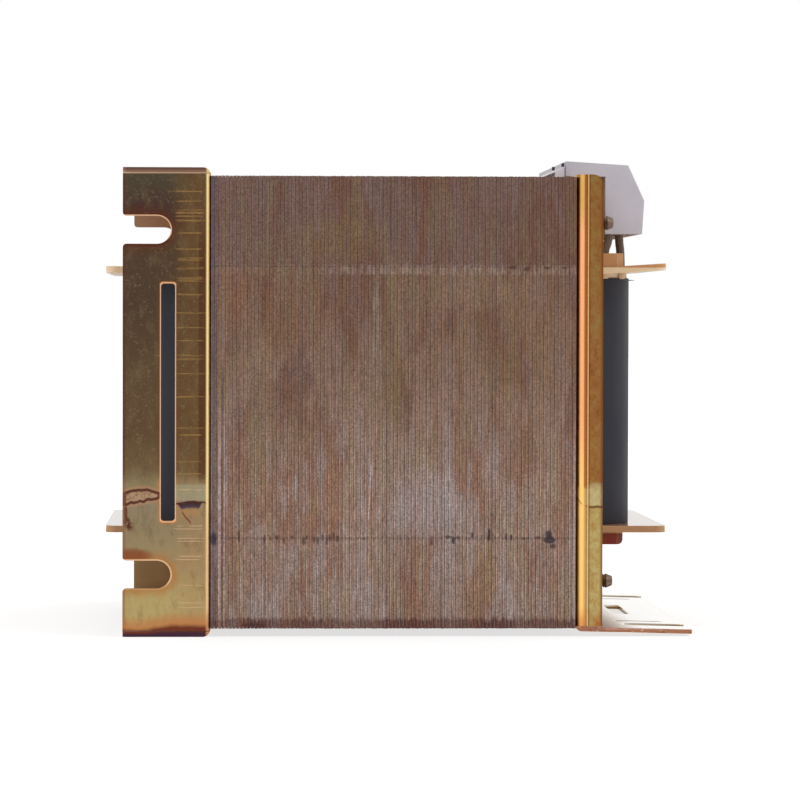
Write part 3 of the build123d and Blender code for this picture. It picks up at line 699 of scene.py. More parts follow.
# The flanges' outer faces by height: varnish darkens the upper part, and a painted reflection adds to it,
# dark above as if mirroring the dim room in front and pale below as if mirroring the white floor.
SIDE_STAIN_AND_REFLECTION = (
    (0, 192, 170, 113), (11, 190, 168, 112), (20, 168, 146, 104), (30, 152, 134, 102), (38, 152, 136, 110),
    (41.5, 148, 132, 98), (47, 118, 96, 68), (55, 104, 82, 58), (72, 100, 79, 58), (92, 86, 69, 54),
    (105, 88, 70, 54), (114, 84, 66, 52), (119, 82, 62, 54), (124, 84, 74, 60), (129, 88, 78, 60),
)
drifted = (zinc.z + (cloth - 0.5) * (7 * MM)) / TRAY_TALL
STAIN_TOP = 41.5 * MM
high_part = zinc.z.ease(STAIN_TOP, STAIN_TOP + 4 * MM)
right_strip = (zinc.x + (cloth - 0.5) * (3 * MM)).rise(-64, -57)
side = (
    zinc.ramp(drifted, *((z * MM / TRAY_TALL, *tone) for z, *tone in SIDE_STAIN_AND_REFLECTION))
    .toned(right_strip * high_part * 0.6, 120, 88, 52)
    .toned(right_strip * (1 - high_part) * 0.42, 178, 140, 98)
    .toned(grain.ease(0.5, 0.7) * 0.2, 140, 120, 88)
    .toned(grain.ease(0.5, 0.3) * 0.28, 92, 66, 50)
    .toned(fine.ease(0.56, 0.7) * 0.25, 170, 148, 116)
)
both_sides = abs(zinc.y).rise(74.4, 75.2)
inner_far = zinc.tones(zinc.z.rise(60, 90), (158, 128, 98), (178, 136, 116))
colour = gold.toned(far_half * (0.95 - 0.3 * grain), inner_far).toned(both_sides * near_side, side)
print("tray finish has", len(zinc.tree.nodes), "nodes so far")

# %% Tray finish: stains and rims at the slots
U_SLOT_END = -62.85
U_SLOT_RADIUS = 3.85
LONG_SLOT_Z = 64.66
low_gap = zinc.slot_gap(U_SLOT_END, 17.2, U_SLOT_RADIUS)
high_gap = zinc.slot_gap(U_SLOT_END, 112.1, U_SLOT_RADIUS)
window_gap = zinc.window_gap(-63.6, LONG_SLOT_Z, 1.95, 32.7, 0.6)
wander = (cloth - 0.5) * (4 * MM)
orange_ring = (low_gap + wander).rise(3.4, 0.2) * near_side
burnt = zinc.spot(-73.6, 22.4, 5.4, 1.9, 0.8) * near_side
over_slot = (high_gap + wander).rise(4.6, 1.0) * zinc.z.rise(112, 116) * near_side
round_slot = (high_gap + wander).rise(4.0, 0.3) * near_side
red_rim = high_gap.rise(1.0, 0.3) * near_side
window_ring = (window_gap + wander * 0.4).rise(1.6, 0.1) * near_side
fold_band = zinc.x.within(-54.9, -53.4, 0.5) * zinc.z.rise(118, 104) * high_part
colour = (
    colour.toned(orange_ring * 0.7, 186, 122, 64)
    .toned(burnt * 0.75, 136, 66, 42)
    .toned(over_slot * 0.65, 76, 48, 46)
    .toned(round_slot * 0.45, 106, 60, 40)
    .toned(red_rim * 0.7, 96, 40, 34)
    .toned(window_ring * high_part * 0.5, 120, 72, 38)
    .toned(window_ring * (1 - high_part) * 0.6, 190, 130, 72)
    .toned(fold_band * near_side * 0.6, 84, 46, 32)
)
# Painted highlights: pale lines round the U-slots and along the sides of the long slot, where the rounded
# cut edges would catch the light.
low_slot_highlight = low_gap.rise(0.5, 0.25) * (0.25 + 0.75 * zinc.z.rise(13.6, 15.5))
high_slot_highlight = high_gap.rise(0.4, 0.2) * zinc.z.rise(108.8, 111.5)
u_slot_rim_highlight = (low_slot_highlight + high_slot_highlight) * near_side
window_side_highlight = window_gap.rise(0.36, 0.2) * near_side
rim_end = abs(zinc.z - LONG_SLOT_Z * MM).rise(32.3, 32.6)
end_rim = window_gap.rise(0.55, 0.35) * rim_end * near_side

# %% Tray finish: the dried puddle
PUDDLE_X, PUDDLE_HALF = -70.75, 4.9
share = (zinc.x - PUDDLE_X * MM) / (PUDDLE_HALF * MM)
scallop = (zinc.noise((1.5, 9, 9), 1.0, 0.5, 2.0) - 0.5) * (1.3 * MM)
puddle_top = 40.55 * MM - share * share * (1.0 * MM) + scallop * 0.4
puddle_low = 37.5 * MM + share * (1.0 * MM) + scallop
ends = (1 - abs(share)) * (3.6 * MM)
inside = (puddle_top - zinc.z).math("MINIMUM", zinc.z - puddle_low).math("MINIMUM", ends)
puddle = inside.rise(-0.1, 0.3) * near_side
rings = zinc.noise((1.5, 1.5, 1.2), 2.0, 0.5, 5.0)
colour = (
    colour.toned(puddle * 0.7, 190, 152, 120)
    .toned(rings.near(0.5, 0.022) * puddle * 0.6, 120, 66, 46)
    .toned(inside.line(0.0, 0.42) * near_side * 0.85, 84, 34, 34)
    .toned(inside.line(-0.75, 0.4) * near_side * 0.35, 200, 140, 100)
)

# %% Tray finish: the dark tide line beside the long slot
reach = (zinc.x + 57.0 * MM) / (4.4 * MM)
tide_top = 37.7 * MM - reach * reach * (0.8 * MM) + scallop * 0.35
thin_end = zinc.x.rise(-54.0, -55.2)
tide_thick = 0.5 * MM + thin_end * zinc.x.rise(-61.2, -59.6) * (1.9 * MM)
depth = (tide_top - zinc.z) / tide_thick
beside = zinc.x.rise(-62.2, -61.2) * near_side
rust_under = depth.ease(0.7, 1.0) * depth.ease(2.3, 1.2) * beside * thin_end
tail = (zinc.z + zinc.x * 1.15 + scallop * 0.6).line(-34.4, 0.45)
tail = tail * zinc.x.within(-59.6, -57.4, 0.3) * near_side
tide = depth.ease(0.0, 0.14) * depth.ease(1.1, 0.7) * beside
colour = (
    colour.toned(zinc.z.within(38.0, 41.6, 0.8) * beside * 0.6, 170, 164, 132)
    .toned(rust_under * 0.45, 190, 136, 78)
    .toned(tail * 0.75, 130, 70, 40)
    .toned(tide * 0.92, zinc.tones(depth.ease(0.3, 0.75), (66, 32, 36), (62, 54, 74)))
)
BLOBS = ((-74.8, 31.6, 0.9, 1.5), (-73.9, 30.3, 0.9, 1.2), (-75.2, 34.4, 0.5, 2.0))
for place in BLOBS:
    blob = zinc.spot(*place, 0.8) * near_side * (grain + fine).ease(0.7, 1.0)
    colour = colour.toned(blob * 0.85, 92, 38, 32)
tip_edge = zinc.x.rise(-74.9, -75.7) * near_side
colour = colour.toned(tip_edge * 0.55, zinc.tones(high_part, (150, 92, 66), (98, 50, 40)))

# %% Tray finish: bottom edge
lift = zinc.x.rise(-71, -62) * (1.1 * MM) + (cloth - 0.5) * MM
over_edge = zinc.z - lift
strip_tone = zinc.tones(zinc.z.rise(127.9, 129.2), (156, 120, 98), (108, 76, 70))
colour = (
    colour.toned(over_edge.rise(6.5, 2.6) * near_side * 0.62, 204, 120, 66)
    .toned(over_edge.rise(2.8, 1.3) * near_side * 0.9, 104, 42, 36)
    .toned((zinc.z - lift * 0.4).rise(1.25, 0.6) * near_side * 0.85, 62, 46, 66)
    .toned(zinc.z.rise(127.5, 127.9) * near_side * 0.85, strip_tone)
    # Painted highlight: a pale line along the top edge of the near flange.
    .toned(zinc.z.line(127.75, 0.16) * near_side * 0.8, 250, 212, 180)
)

# %% Tray finish: scratches, and painted highlights on the rims and fold
SCRATCHES = (
    (122.7, 0.16), (120, 0.13), (117.5, 0.13), (116.8, 0.26), (115.8, 0.16), (114.6, 0.28), (111.2, 0.14),
    (106.8, 0.16), (104, 0.46), (101.6, 0.34), (98.5, 0.7), (94.3, 0.18), (89.3, 0.13), (85.2, 0.14),
    (81.6, 0.13), (77.6, 0.16), (76.6, 0.3), (72.5, 0.13), (66.2, 0.14), (57.6, 0.13), (55.7, 0.16),
    (48.3, 0.13), (45, 0.14), (40.6, 0.13), (30.6, 0.14), (29.8, 0.12), (27.3, 0.12), (26.4, 0.13),
    (22.2, 0.13), (21.4, 0.12), (14.2, 0.1), (9.4, 0.12), (8.2, 0.1),
)
jitter = (zinc.noise((9, 9, 0.7), 2.0, 0.5, 6.0) - 0.5) * (0.5 * MM)
marks = [(zinc.z + jitter).line(z, half) * (1.0 if half < 0.3 else 0.6) for z, half in SCRATCHES]
scratch = combined("ADD", marks) + zinc.noise((4, 4, 0.28), 2.0, 0.7, 9.0).ease(0.6, 0.7) * 0.25
uneven = zinc.noise((2.6, 2.6, 0.35), 2.0, 0.6, 9.0)
reach = zinc.x.within(-60.0, -55.2, 2.4)
scratch = scratch * (reach + (uneven - 0.5) * 3.5).ease(0.3, 1.1) * near_side
# Painted highlight: the tray's fold is coloured a bright pale yellow, as if mirroring the white side, and
# orange towards its foot.
painted_fold_highlight = zinc.x.rise(-53.4, -52.7) * both_sides
fold_highlight_tone = zinc.tones(zinc.z.rise(44, 20), (250, 220, 156), (240, 200, 146))
fold_highlight_tone = fold_highlight_tone.toned(zinc.z.rise(9, 3) * 0.7, 186, 104, 66)
colour = (
    colour.toned(scratch * 0.62, zinc.tones(high_part, (222, 186, 150), (170, 134, 80)))
    .toned(fine.ease(0.7, 0.78) * 0.24, 214, 196, 150)
    .toned(u_slot_rim_highlight * 0.85, 248, 204, 160)
    .toned(window_side_highlight * 0.8, 250, 208, 176)
    .toned(end_rim * 0.8, 246, 180, 124)
    .toned(painted_fold_highlight, fold_highlight_tone)
    # Painted highlight on every bevelled edge.
    .toned(zinc.attribute("rim") * 0.7, 244, 206, 178)
)
zinc.feed("Base Color", colour)
zinc.feed("Roughness", 0.32 + 0.22 * grain - 0.1 * painted_fold_highlight + 0.2 * scratch)
zinc.bump(fine + scratch * 0.5, 0.03, 0.5)
settle(tray, zinc, "tray_zinc", "slotted_tray_frame")
print("tray finish has", len(zinc.tree.nodes), "nodes")

# %% [markdown]
# ## The footed frame's finish
# The right frame took less varnish, so it is a clearer gold: olive and mottled on its narrow
# flange, paler below the stain line, and rust brown where the fold meets the foot. Its fold
# carries a painted highlight, bright orange to yellow, between bands of painted shade, and
# its upright edges a painted highlight too. The foot's top is painted near white, a painted
# reflection of the white backdrop. The foot's edge is pink and scratched.

# %% Foot finish: flange
gilt = Finish("foot_chromate", Metallic=1.0)
drift = gilt.noise((8, 8, 12), 3.0, 0.6, 2.0)
mottle = gilt.noise((1.3, 1.3, 1.7), 3.0, 0.7, 5.0)
GOLDS = (0.28, 200, 158, 84), (0.46, 212, 176, 98), (0.58, 222, 188, 110), (0.74, 218, 170, 126)
gold = gilt.ramp(drift, *GOLDS)
foot_wave = (gilt.noise((3, 3, 3), 1.0, 0.5) - 0.5) * (2.4 * MM)
low_part = (gilt.z + foot_wave).rise(41.8, 40.6)
low_tone = gilt.ramp(mottle, (0.34, 178, 140, 84), (0.50, 190, 162, 98), (0.64, 196, 178, 122))
stain_sag = (gilt.noise((2.4, 9, 9), 1.0, 0.5, 3.0) - 0.5) * (1.4 * MM)
rust_foot = (gilt.z + foot_wave).rise(8.0, 3.4) * (0.35 + 0.65 * gilt.x.rise(53.4, 55.2))
flange_edge = (gilt.x + (mottle - 0.5) * (0.9 * MM)).rise(55.5, 56.3)
FLANGE_TONES = (
    (0.30, 122, 78, 42), (0.42, 150, 98, 50), (0.50, 158, 108, 60), (0.58, 160, 120, 64),
    (0.68, 150, 130, 84),
)
flange = (
    gilt.ramp(drift * 0.4 + mottle * 0.6, *FLANGE_TONES)
    .toned(low_part, low_tone)
    .toned((gilt.z + foot_wave).within(36.5, 41.8, 0.8) * 0.4, 206, 196, 148)
    .toned((gilt.z + stain_sag).line(35.9, 0.36) * 0.8, 112, 66, 40)
    .toned(rust_foot * 0.75, 176, 92, 44)
    .toned(flange_edge * 0.7, 122, 62, 36)
)

# %% Foot finish: fold, foot and edge
# Painted highlight and shade on the fold: a bright orange to yellow band between darker painted-shade
# bands, then a thin bright line and a thin dark line where it meets the flat.
foot_fold = gilt.x.rise(52.0, 51.5)
fold_highlight_colour = gilt.tones(gilt.z.rise(62, 40), (250, 178, 122), (255, 208, 122))
fold_highlight_colour = fold_highlight_colour.toned(gilt.z.rise(110, 121), 214, 172, 96)
fold_shade_bands = gilt.x.within(51.4, 52.1, 0.3) + gilt.x.rise(50.35, 50.05) * 0.5
hook = (gilt.z + gilt.x * 1.3).line(102.6, 0.3) * gilt.x.within(49.4, 50.6, 0.3)
rust_fold = gilt.z.rise(9.0, 3.0) * foot_fold
flange = (
    flange.toned(foot_fold * 0.95, fold_highlight_colour)
    .toned(fold_shade_bands * (0.85 - 0.45 * low_part), 168, 88, 40)
    .toned(gilt.x.line(52.32, 0.16) * 0.8, 255, 206, 140)
    .toned(gilt.x.line(52.68, 0.2) * 0.55, 104, 64, 38)
    .toned(hook * 0.6, 120, 70, 40)
    .toned(rust_fold * 0.7, 214, 124, 70)
)
upright = gilt.z.rise(2.4, 3.2)
foot_sides = abs(gilt.y).rise(71.8, 72.6)
rims = gilt.attribute("rim")
# Painted reflection: the foot's top is painted near white, as if mirroring the white backdrop at a grazing
# angle, and made smoother.
reflecting_foot_top = gilt.z.rise(2.6, 2.2) * gilt.x.rise(53, 57) * gilt.z.rise(1.6, 1.9) * (1 - rims)
foot_edge = gilt.y.rise(-74.9, -75.15) * (1 - upright)
nicks = gilt.noise((1.6, 1.6, 0.7), 3.0, 0.7, 7.0).ease(0.58, 0.68)
bruise = gilt.noise((4, 4, 1.2), 3.0, 0.6, 9.0).ease(0.5, 0.62)
pink = gilt.tones(bruise * 0.7, (172, 112, 88), (136, 72, 48)).toned(nicks * 0.7, 250, 222, 204)
slot_walls = (1 - upright) * (1 - reflecting_foot_top) * (1 - foot_edge)
# The rounded upright edges get a painted highlight; the edges on the foot's top a darker brown.
rim_tone_and_highlight = gilt.tones(upright, (158, 112, 84), (236, 190, 150))
colour = (
    gold.toned(upright * foot_sides, flange)
    .toned(reflecting_foot_top * 0.96, 255, 252, 246)
    .toned(slot_walls * 0.75, 118, 92, 70)
    .toned(foot_edge * 0.9, pink)
    .toned(rims * (0.8 - 0.25 * upright), rim_tone_and_highlight)
)
gilt.feed("Base Color", colour)
gilt.feed("Roughness", 0.2 + 0.2 * mottle + 0.12 * low_part - reflecting_foot_top * (0.13 + 0.2 * mottle))
gilt.bump(mottle * (1 - reflecting_foot_top), 0.03, 0.45)
settle(foot, gilt, "foot_zinc", "footed_frame")
print("foot finish has", len(gilt.tree.nodes), "nodes")

# %% [markdown]
# ## The coil former
# A moulding of amber plastic that lets some light through, so its shaded parts turn orange
# and not grey. The rib under the lower flange has its shade painted in as a deep red, with a
# painted orange highlight at its left end. Its edges are rounded like those of any moulding,
# and a fine grain keeps the flats from looking like glass.

# %% Former
former = dressed_copy("coil_former", "former_moulding", 0.5, 3)
light_inside = {"Subsurface_Weight": 0.25, "Subsurface_Radius": (1.0, 0.35, 0.1), "Subsurface_Scale": 0.004}
amber = Finish("amber_moulding", IOR=1.5, Specular_IOR_Level=0.2, **light_inside)
cloud = amber.noise((9, 9, 9), 3.0, 0.6)
FLANGE_UNDER = 27.3
# Painted shade: the rib under the lower flange is darkened to a deep red, with a painted orange highlight
# towards its left end.
rib_low = amber.z.rise(FLANGE_UNDER + 0.2, FLANGE_UNDER - 0.2)
rib_shade_and_highlight = amber.tones(amber.x.rise(59.0, 56.0), (116, 30, 2), (172, 66, 4))
tint = (
    amber.tones(cloud, (222, 192, 154), (238, 216, 184))
    .toned(rib_low * 0.97, rib_shade_and_highlight)
    .toned(amber.z.within(FLANGE_UNDER, 31, 0.3) * 0.8, 164, 116, 76)
    .toned(amber.z.rise(102.2, 102.6) * 0.75, 178, 112, 48)
)
amber.feed("Base Color", tint)
polished = amber.z.within(28.8, 34, 0.3)
amber.feed("Roughness", (0.26 + 0.2 * cloud) * (1 - polished) + 0.03)
amber.bump(amber.noise((0.5, 0.5, 0.5), 2.0, 0.5) * (1 - polished), 0.02, 0.4)
settle(former, amber, "former_plastic", "coil_former")

# %% [markdown]
# ## Tape and papers round the coil
# Outside the coil lie dark slate tape and, above its edge, the pale cover paper. The
# tape was wound round and round, so it has faint level laps, and its end sticks up a little
# at the right, as a small dark spike.

# %% Tape
wrap = dressed_copy("outer_wrap", "slate_tape_wrap", 0.12)
WRAP_RISE = 0.65 * MM
wrap_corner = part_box("outer_wrap")[1]
for vert in wrap.data.vertices:
    if vert.co.z > wrap_corner[2] - 2 * MM:
        vert.co.z += WRAP_RISE
lumps = (12, 12, 22), 3.0, 0.6, 3.0
slate = mottled("slate_tape", lumps, (9, 7, 20), (24, 20, 37), (0.5, 0.25), IOR=1.45)
slate.bump(slate.noise((60, 60, 1.2), 2.0, 0.5), 0.08, 0.5)
settle(wrap, slate, "slate_tape", "outer_wrap")

# %% Tape end
TAPE_TIP = 2.2 * MM
TAPE_EDGE = 0.5 * MM
TAPE_Y = -22 * MM
TAPE_FLAT = (1, 6, 0.45)
ALONG_X = Matrix.Rotation(math.radians(90), 4, "Y")


def cone(mesh, matrix, sides, radius, depth, end_radius=None):
    """A closed prism along the matrix's own Z, or a cone when its end has another radius."""
    end_radius = radius if end_radius is None else end_radius
    bmesh.ops.create_cone(
        mesh, cap_ends=True, segments=sides, radius1=radius, radius2=end_radius, depth=depth, matrix=matrix
    )


mesh = bmesh.new()
tape_top = wrap_corner[2] + WRAP_RISE - TAPE_EDGE
base = Matrix.Translation((wrap_corner[0] + TAPE_TIP / 2 - 0.2 * MM, TAPE_Y, tape_top))
cone(mesh, base @ ALONG_X, 6, TAPE_EDGE, TAPE_TIP, 0.06 * MM)
about_base = Matrix.Translation(-base.translation)
bmesh.ops.scale(mesh, vec=TAPE_FLAT, verts=mesh.verts[:], space=about_base)
settle(finished_piece("tape_end", mesh), slate, "slate_tape")

# %% Papers and windings
cover = dressed_copy("cover_insulation", "cover_paper_edge", 0.06, 1)
PAPER_RISE = 1.25 * MM
PAPER_TOP = 101.8 * MM
cover_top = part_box("cover_insulation")[1][2]
for vert in cover.data.vertices:
    if vert.co.z > cover_top - 0.5 * MM:
        vert.co.z = min(vert.co.z + PAPER_RISE, PAPER_TOP)
lumps = (3, 3, 0.8), 4.0, 0.7
paper = mottled("cover_paper", lumps, (214, 184, 150), (236, 212, 186), IOR=1.4, Roughness=0.75)
paper.bump(paper.lumps, 0.05, 0.5)
settle(cover, paper, "cover_paper", "cover_insulation")
lumps = (2, 2, 2), 3.0, 0.6
inner_paper = mottled("layer_paper", lumps, (178, 150, 104), (204, 178, 132), IOR=1.4, Roughness=0.7)
lumps = (1.2, 6, 6), 3.0, 0.6
board = mottled("wedge_board", lumps, (150, 118, 80), (186, 152, 108), IOR=1.4, Roughness=0.8)
lumps = (40, 40, 0.9), 2.0, 0.5
enamel = {"Metallic": 0.9, "Roughness": 0.3, "Coat_Weight": 0.6}
wire = mottled("enamelled_wire", lumps, (146, 74, 38), (196, 112, 62), **enamel)
wire.bump(wire.lumps, 0.2, 0.6)
INSIDE = {
    "layer_insulation": inner_paper, "bolt_sleeves": inner_paper, "coil_wedges": board,
    "inner_winding": wire, "outer_winding": wire, "lead_wires": wire,
}
for node, finish in INSIDE.items():
    wear(nodes[node], finish)
print("dressed inside:", ", ".join(INSIDE))


# %% [markdown]
# ## Turned parts
# Bolts and washers are round, so each is a profile spun about its own axis.
# The helper takes points as a distance along the axis and a radius. A thread is the same
# idea with a shift of one pitch in a full turn, so that its last profile meets the first.

# %% turned and finish_turned
def turned(mesh, points, place, segments=32, pitch=0.0, closed=False):
    """Spins a profile of (along X, radius) points about X; with a pitch it makes a thread."""
    y, z = place
    verts = [mesh.verts.new((x, y, z + radius)) for x, radius in points]
    pairs = list(zip(verts, verts[1:]))
    if closed:
        pairs.append((verts[-1], verts[0]))
    edges = [mesh.edges.new(pair) for pair in pairs]
    bmesh.ops.spin(
        mesh, geom=verts + edges, cent=(0, y, z), axis=(1, 0, 0), dvec=(pitch / segments, 0, 0),
        angle=2 * math.pi, steps=segments, use_merge=not pitch, use_duplicate=False,
    )


def finish_turned(name, mesh):
    """Merges the seams, turns every face outwards and keeps the corners crisp."""
    bmesh.ops.remove_doubles(mesh, verts=mesh.verts[:], dist=MERGE)
    bmesh.ops.recalc_face_normals(mesh, faces=mesh.faces[:])
    return smooth_piece(name, mesh, 32)


# %% Where the bolts stand
bolt_low, bolt_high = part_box("clamp_bolts")
nut_low, nut_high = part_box("clamp_nuts")
washer_low, washer_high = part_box("nut_washers")
head_low, head_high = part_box("head_washers")
WASHER_HALF = 4.5 * MM
BOLT_Y = (washer_high[1] + head_high[1]) / 2 - WASHER_HALF
bolt_places = [(y, z) for y in (-BOLT_Y, BOLT_Y) for z in (CORE_UNDER + UNIT / 2, CORE_TOP - UNIT / 2)]
print("bolts in mm:", [(round(y / MM, 2), round(z / MM, 2)) for y, z in bolt_places])

# %% [markdown]
# ## Clamp bolts, nuts and washers
# Four M4 bolts run through the stack. Their heads sit in the tray and their pointed ends stand
# past the nuts, where the photograph shows the threads of two of them. Heads and nuts are
# hexagons whose corners are cut back by a plane each, as the chamfer of a real nut does.

# %% Hexagon with chamfered corners
FLATS = 7.0 * MM


def cut_away(mesh, point, normal):
    """Cuts a closed mesh by a plane and drops what lies past it; gives the cut's edges."""
    every = mesh.verts[:] + mesh.edges[:] + mesh.faces[:]
    made = bmesh.ops.bisect_plane(mesh, geom=every, plane_co=point, plane_no=normal, clear_outer=True)
    return [item for item in made["geom_cut"] if isinstance(item, bmesh.types.BMEdge)]


def hexagon(mesh, start, end, place, chamfered):
    """A hexagonal prism along X; chamfered is -1 or 1, the end whose corners are cut back."""
    piece = bmesh.new()
    middle = Matrix.Translation(((start + end) / 2, *place))
    cone(piece, middle @ ALONG_X, 6, FLATS / math.sqrt(3), end - start)
    face_x = start if chamfered < 0 else end
    for corner in range(6):
        angle = math.radians(60 * corner)
        out = Vector((0, math.sin(angle), math.cos(angle)))
        point = Vector((face_x, *place)) + out * (FLATS / 2)
        normal = Vector((chamfered, 0, 0)) * math.cos(math.radians(30)) + out * 0.5
        rim = cut_away(piece, point, normal.normalized())
        if rim:
            bmesh.ops.edgeloop_fill(piece, edges=rim)
    mesh.from_mesh(baked("hexagon", piece))


# %% Bolts
THREAD_PITCH = 0.7 * MM
THREAD_ROOT = 1.58 * MM
THREAD_CREST = 1.98 * MM
SHANK = 1.9 * MM
POINT = 1.7 * MM
bolt_end = bolt_high[0]
tip = bolt_end - POINT
thread_start = nut_low[0] - 1.5 * MM
in_head = head_low[0] - 0.2 * MM
shank_profile = [(in_head, 0), (in_head, SHANK), (thread_start + THREAD_PITCH, SHANK)]
thread_profile = []
for turn in range(round((tip - thread_start) / THREAD_PITCH)):
    thread_profile.append((thread_start + turn * THREAD_PITCH, THREAD_ROOT))
    thread_profile.append((thread_start + (turn + 0.5) * THREAD_PITCH, THREAD_CREST))
tip_profile = [
    (tip - 0.8 * MM, 0), (tip - 0.8 * MM, THREAD_ROOT), (tip, THREAD_CREST),
    (tip + 0.8 * POINT, 1.45 * MM), (bolt_end, 1.2 * MM), (bolt_end, 0),
]
mesh = bmesh.new()
for place in bolt_places:
    hexagon(mesh, bolt_low[0], head_low[0], place, -1)
    turned(mesh, shank_profile, place, 20)
    turned(mesh, thread_profile, place, 20, THREAD_PITCH)
    turned(mesh, tip_profile, place, 20)
bolts = finish_turned("threaded_bolts", mesh)
lumps = (1.6, 1.6, 1.6), 3.0, 0.6
steel = mottled("dull_steel", lumps, (66, 54, 50), (140, 118, 102), (0.35, 0.3), Metallic=0.9)
steel.bump(steel.lumps, 0.04, 0.5)
settle(bolts, steel, "bolt_steel", "clamp_bolts")

# %% Nuts
mesh = bmesh.new()
for place in bolt_places:
    hexagon(mesh, nut_low[0], nut_high[0], place, 1)
settle(finish_turned("chamfered_nuts", mesh), steel, "bolt_steel", "clamp_nuts")

# %% Washers
lumps = (2, 2, 2), 3.0, 0.6
plating = mottled("zinc_washers", lumps, (176, 150, 96), (214, 196, 150), (0.25, 0.25), Metallic=1.0)
WASHER_BORE = 2.15 * MM
EASE = 0.12 * MM
for node, low, high in (("head_washers", head_low, head_high), ("nut_washers", washer_low, washer_high)):
    mesh = bmesh.new()
    profile = [
        (low[0], WASHER_BORE), (low[0], WASHER_HALF - EASE), (low[0] + EASE, WASHER_HALF),
        (high[0] - EASE, WASHER_HALF), (high[0], WASHER_HALF - EASE), (high[0], WASHER_BORE),
    ]
    for place in bolt_places:
        turned(mesh, profile, place, 36, closed=True)
    settle(finish_turned("round_" + node, mesh), plating, "washer_zinc", node)

# %% [markdown]
# ## The terminal block
# A grey moulding with a hood over the frame. The CAD shape is right, so a copy gets rounded
# edges. Its finish is nearly even: a lilac cast, with fine pits from the mould. The clamp
# screws at the bottom of the driver bores are round, with a slot.

# %% Housing
housing = dressed_copy("terminal_housing", "terminal_moulding", 0.22)
grey = Finish("grey_moulding", IOR=1.47)
haze = grey.noise((10, 10, 8), 3.0, 0.6)
pits = grey.noise((0.35, 0.35, 0.35), 2.0, 0.6)
tint = grey.tones(haze, (180, 176, 186), (202, 197, 207))
tint = tint.toned(pits.ease(0.66, 0.74) * 0.25, 150, 138, 138)
grey.feed("Base Color", tint)
grey.feed("Roughness", 0.45 + 0.15 * haze)
grey.bump(pits, 0.02, 0.5)
settle(housing, grey, "terminal_plastic", "terminal_housing")

# %% Clamp screws
screw_low, screw_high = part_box("terminal_screws")
housing_low, housing_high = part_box("terminal_housing")
POLES = 10
POLE_PITCH = (housing_high[1] - housing_low[1]) / POLES
SCREW_HEAD = 2.1 * MM
SCREW_SHANK = 1.65 * MM
HEAD_HEIGHT = 2.0 * MM
SLOT_HALF = 0.4 * MM
screw_x = (screw_low[0] + screw_high[0]) / 2
head_base = screw_high[2] - HEAD_HEIGHT
mesh = bmesh.new()
for pole in range(POLES):
    y = housing_low[1] + (pole + 0.5) * POLE_PITCH
    shank = Matrix.Translation((screw_x, y, (screw_low[2] + head_base) / 2))
    cone(mesh, shank, 16, SCREW_SHANK, head_base - screw_low[2])
    head = Matrix.Translation((screw_x, y, head_base + 0.25 * HEAD_HEIGHT))
    cone(mesh, head, 24, SCREW_HEAD, HEAD_HEIGHT / 2)
    for way in (-1, 1):
        half = bmesh.new()
        slotted = Matrix.Translation((screw_x, y, head_base + 0.75 * HEAD_HEIGHT))
        cone(half, slotted, 24, SCREW_HEAD, HEAD_HEIGHT / 2, SCREW_HEAD - 0.15 * MM)
        cut_away(half, (screw_x, y + way * SLOT_HALF, 0), (0, -way, 0))
        bmesh.ops.holes_fill(half, edges=half.edges[:], sides=0)
        mesh.from_mesh(baked("screw_half", half))
screws = finish_turned("slotted_screws", mesh)
lumps = (0.8, 0.8, 0.8), 3.0, 0.6
bright = mottled("plated_screws", lumps, (170, 164, 154), (212, 208, 200), (0.25, 0.25), Metallic=1.0)
settle(screws, bright, "bolt_steel", "terminal_screws")
wear(nodes["terminal_cages"], bright)
wear(nodes["terminal_tags"], bright)

# %% Marker strip and pegs
strip = dressed_copy("marker_strip", "marker_strip_moulding", 0.12)
lumps = (8, 8, 2), 3.0, 0.6
white = mottled("white_strip", lumps, (238, 234, 242), (250, 248, 252), IOR=1.47, Roughness=0.4)
settle(strip, white, "strip_plastic", "marker_strip")
pegs = dressed_copy("strip_pegs", "marker_pegs", 0.1)
lumps = (1, 1, 1), 2.0, 0.5
dark = mottled("dark_pegs", lumps, (44, 42, 46), (70, 66, 70), IOR=1.47, Roughness=0.45)
settle(pegs, dark, "peg_plastic", "strip_pegs")

# %% [markdown]
# ## Sleeved leads
# Each lead rises from the winding through the former's flange and leans over to its pole. The
# CAD sleeve has few flat sides, so a round tube takes its place along the same line. The
# line was read off the CAD sleeve: the middle of its ring of points at each height.

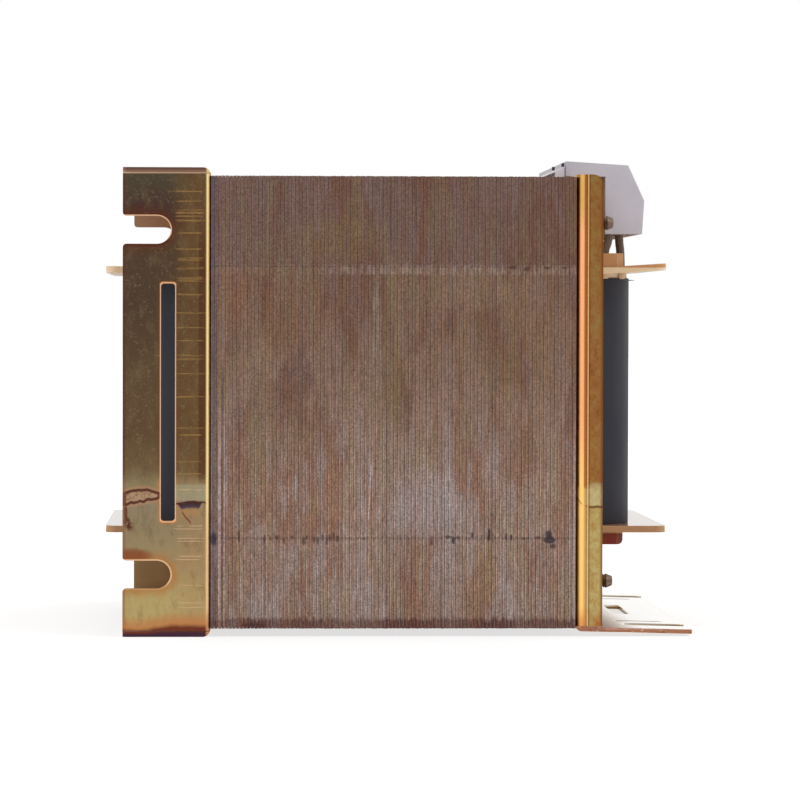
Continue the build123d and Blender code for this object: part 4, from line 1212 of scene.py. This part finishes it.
# %% Leads
LEAD_RADIUS = 1.2 * MM
LEAD_YS = (-45, -35, -15, -5, 15, 25)
INNER_LEAD = ((60.75, 111.8), (60.75, 109.85), (59.35, 106.85), (59.35, 99.3))
OUTER_LEAD = ((64.65, 111.8), (64.65, 109.85), (65.15, 106.85), (65.15, 99.3))
OUTER_NUMBER = 1
mesh = bmesh.new()
for number, y in enumerate(LEAD_YS):
    curve = bpy.data.curves.new("lead_line", "CURVE")
    curve.dimensions = "3D"
    curve.bevel_depth = LEAD_RADIUS
    curve.bevel_resolution = 3
    curve.use_fill_caps = True
    curve.resolution_u = 8
    spline = curve.splines.new("NURBS")
    route = OUTER_LEAD if number == OUTER_NUMBER else INNER_LEAD
    spline.points.add(len(route) - 1)
    for point, (x, z) in zip(spline.points, route):
        point.co = (x * MM, y * MM, z * MM, 1)
    spline.order_u = 3
    spline.use_endpoint_u = True
    holder = bpy.data.objects.new("lead_line", curve)
    scene.collection.objects.link(holder)
    bpy.context.view_layer.update()
    bent = holder.evaluated_get(bpy.context.evaluated_depsgraph_get())
    mesh.from_mesh(bpy.data.meshes.new_from_object(bent))
    bpy.data.objects.remove(holder)
leads = finish_turned("round_lead_sleeves", mesh)
sleeve = Finish("sleeve_plastic", IOR=1.45)
haze = sleeve.noise((1.5, 1.5, 4), 3.0, 0.6)
tint = sleeve.tones(haze, (98, 84, 76), (132, 114, 98))
sleeve.feed("Base Color", tint.toned(sleeve.z.rise(102.2, 101.8), 214, 184, 150))
sleeve.feed("Roughness", 0.45 + 0.2 * haze)
settle(leads, sleeve, "sleeve_plastic", "lead_sleeves")

# %% [markdown]
# ## A drop of varnish
# Where the lower joint meets the right end, a thick drop of varnish dried on the sheets. It is
# a small flattened dome, so it catches light as a raised blot does.

# %% Varnish drop
DROP_HALF = (1.35 * MM, 0.35 * MM, 1.05 * MM)
DROP_PLACE = (41.8 * MM, CORE_NEAR + 0.05 * MM, 26.9 * MM)
mesh = bmesh.new()
bmesh.ops.create_icosphere(mesh, subdivisions=3, radius=1.0)
bmesh.ops.scale(mesh, vec=DROP_HALF, verts=mesh.verts[:])
bmesh.ops.translate(mesh, vec=DROP_PLACE, verts=mesh.verts[:])
for face in mesh.faces:
    face.smooth = True
settle(finished_piece("varnish_drop", mesh), varnish, "core_steel")
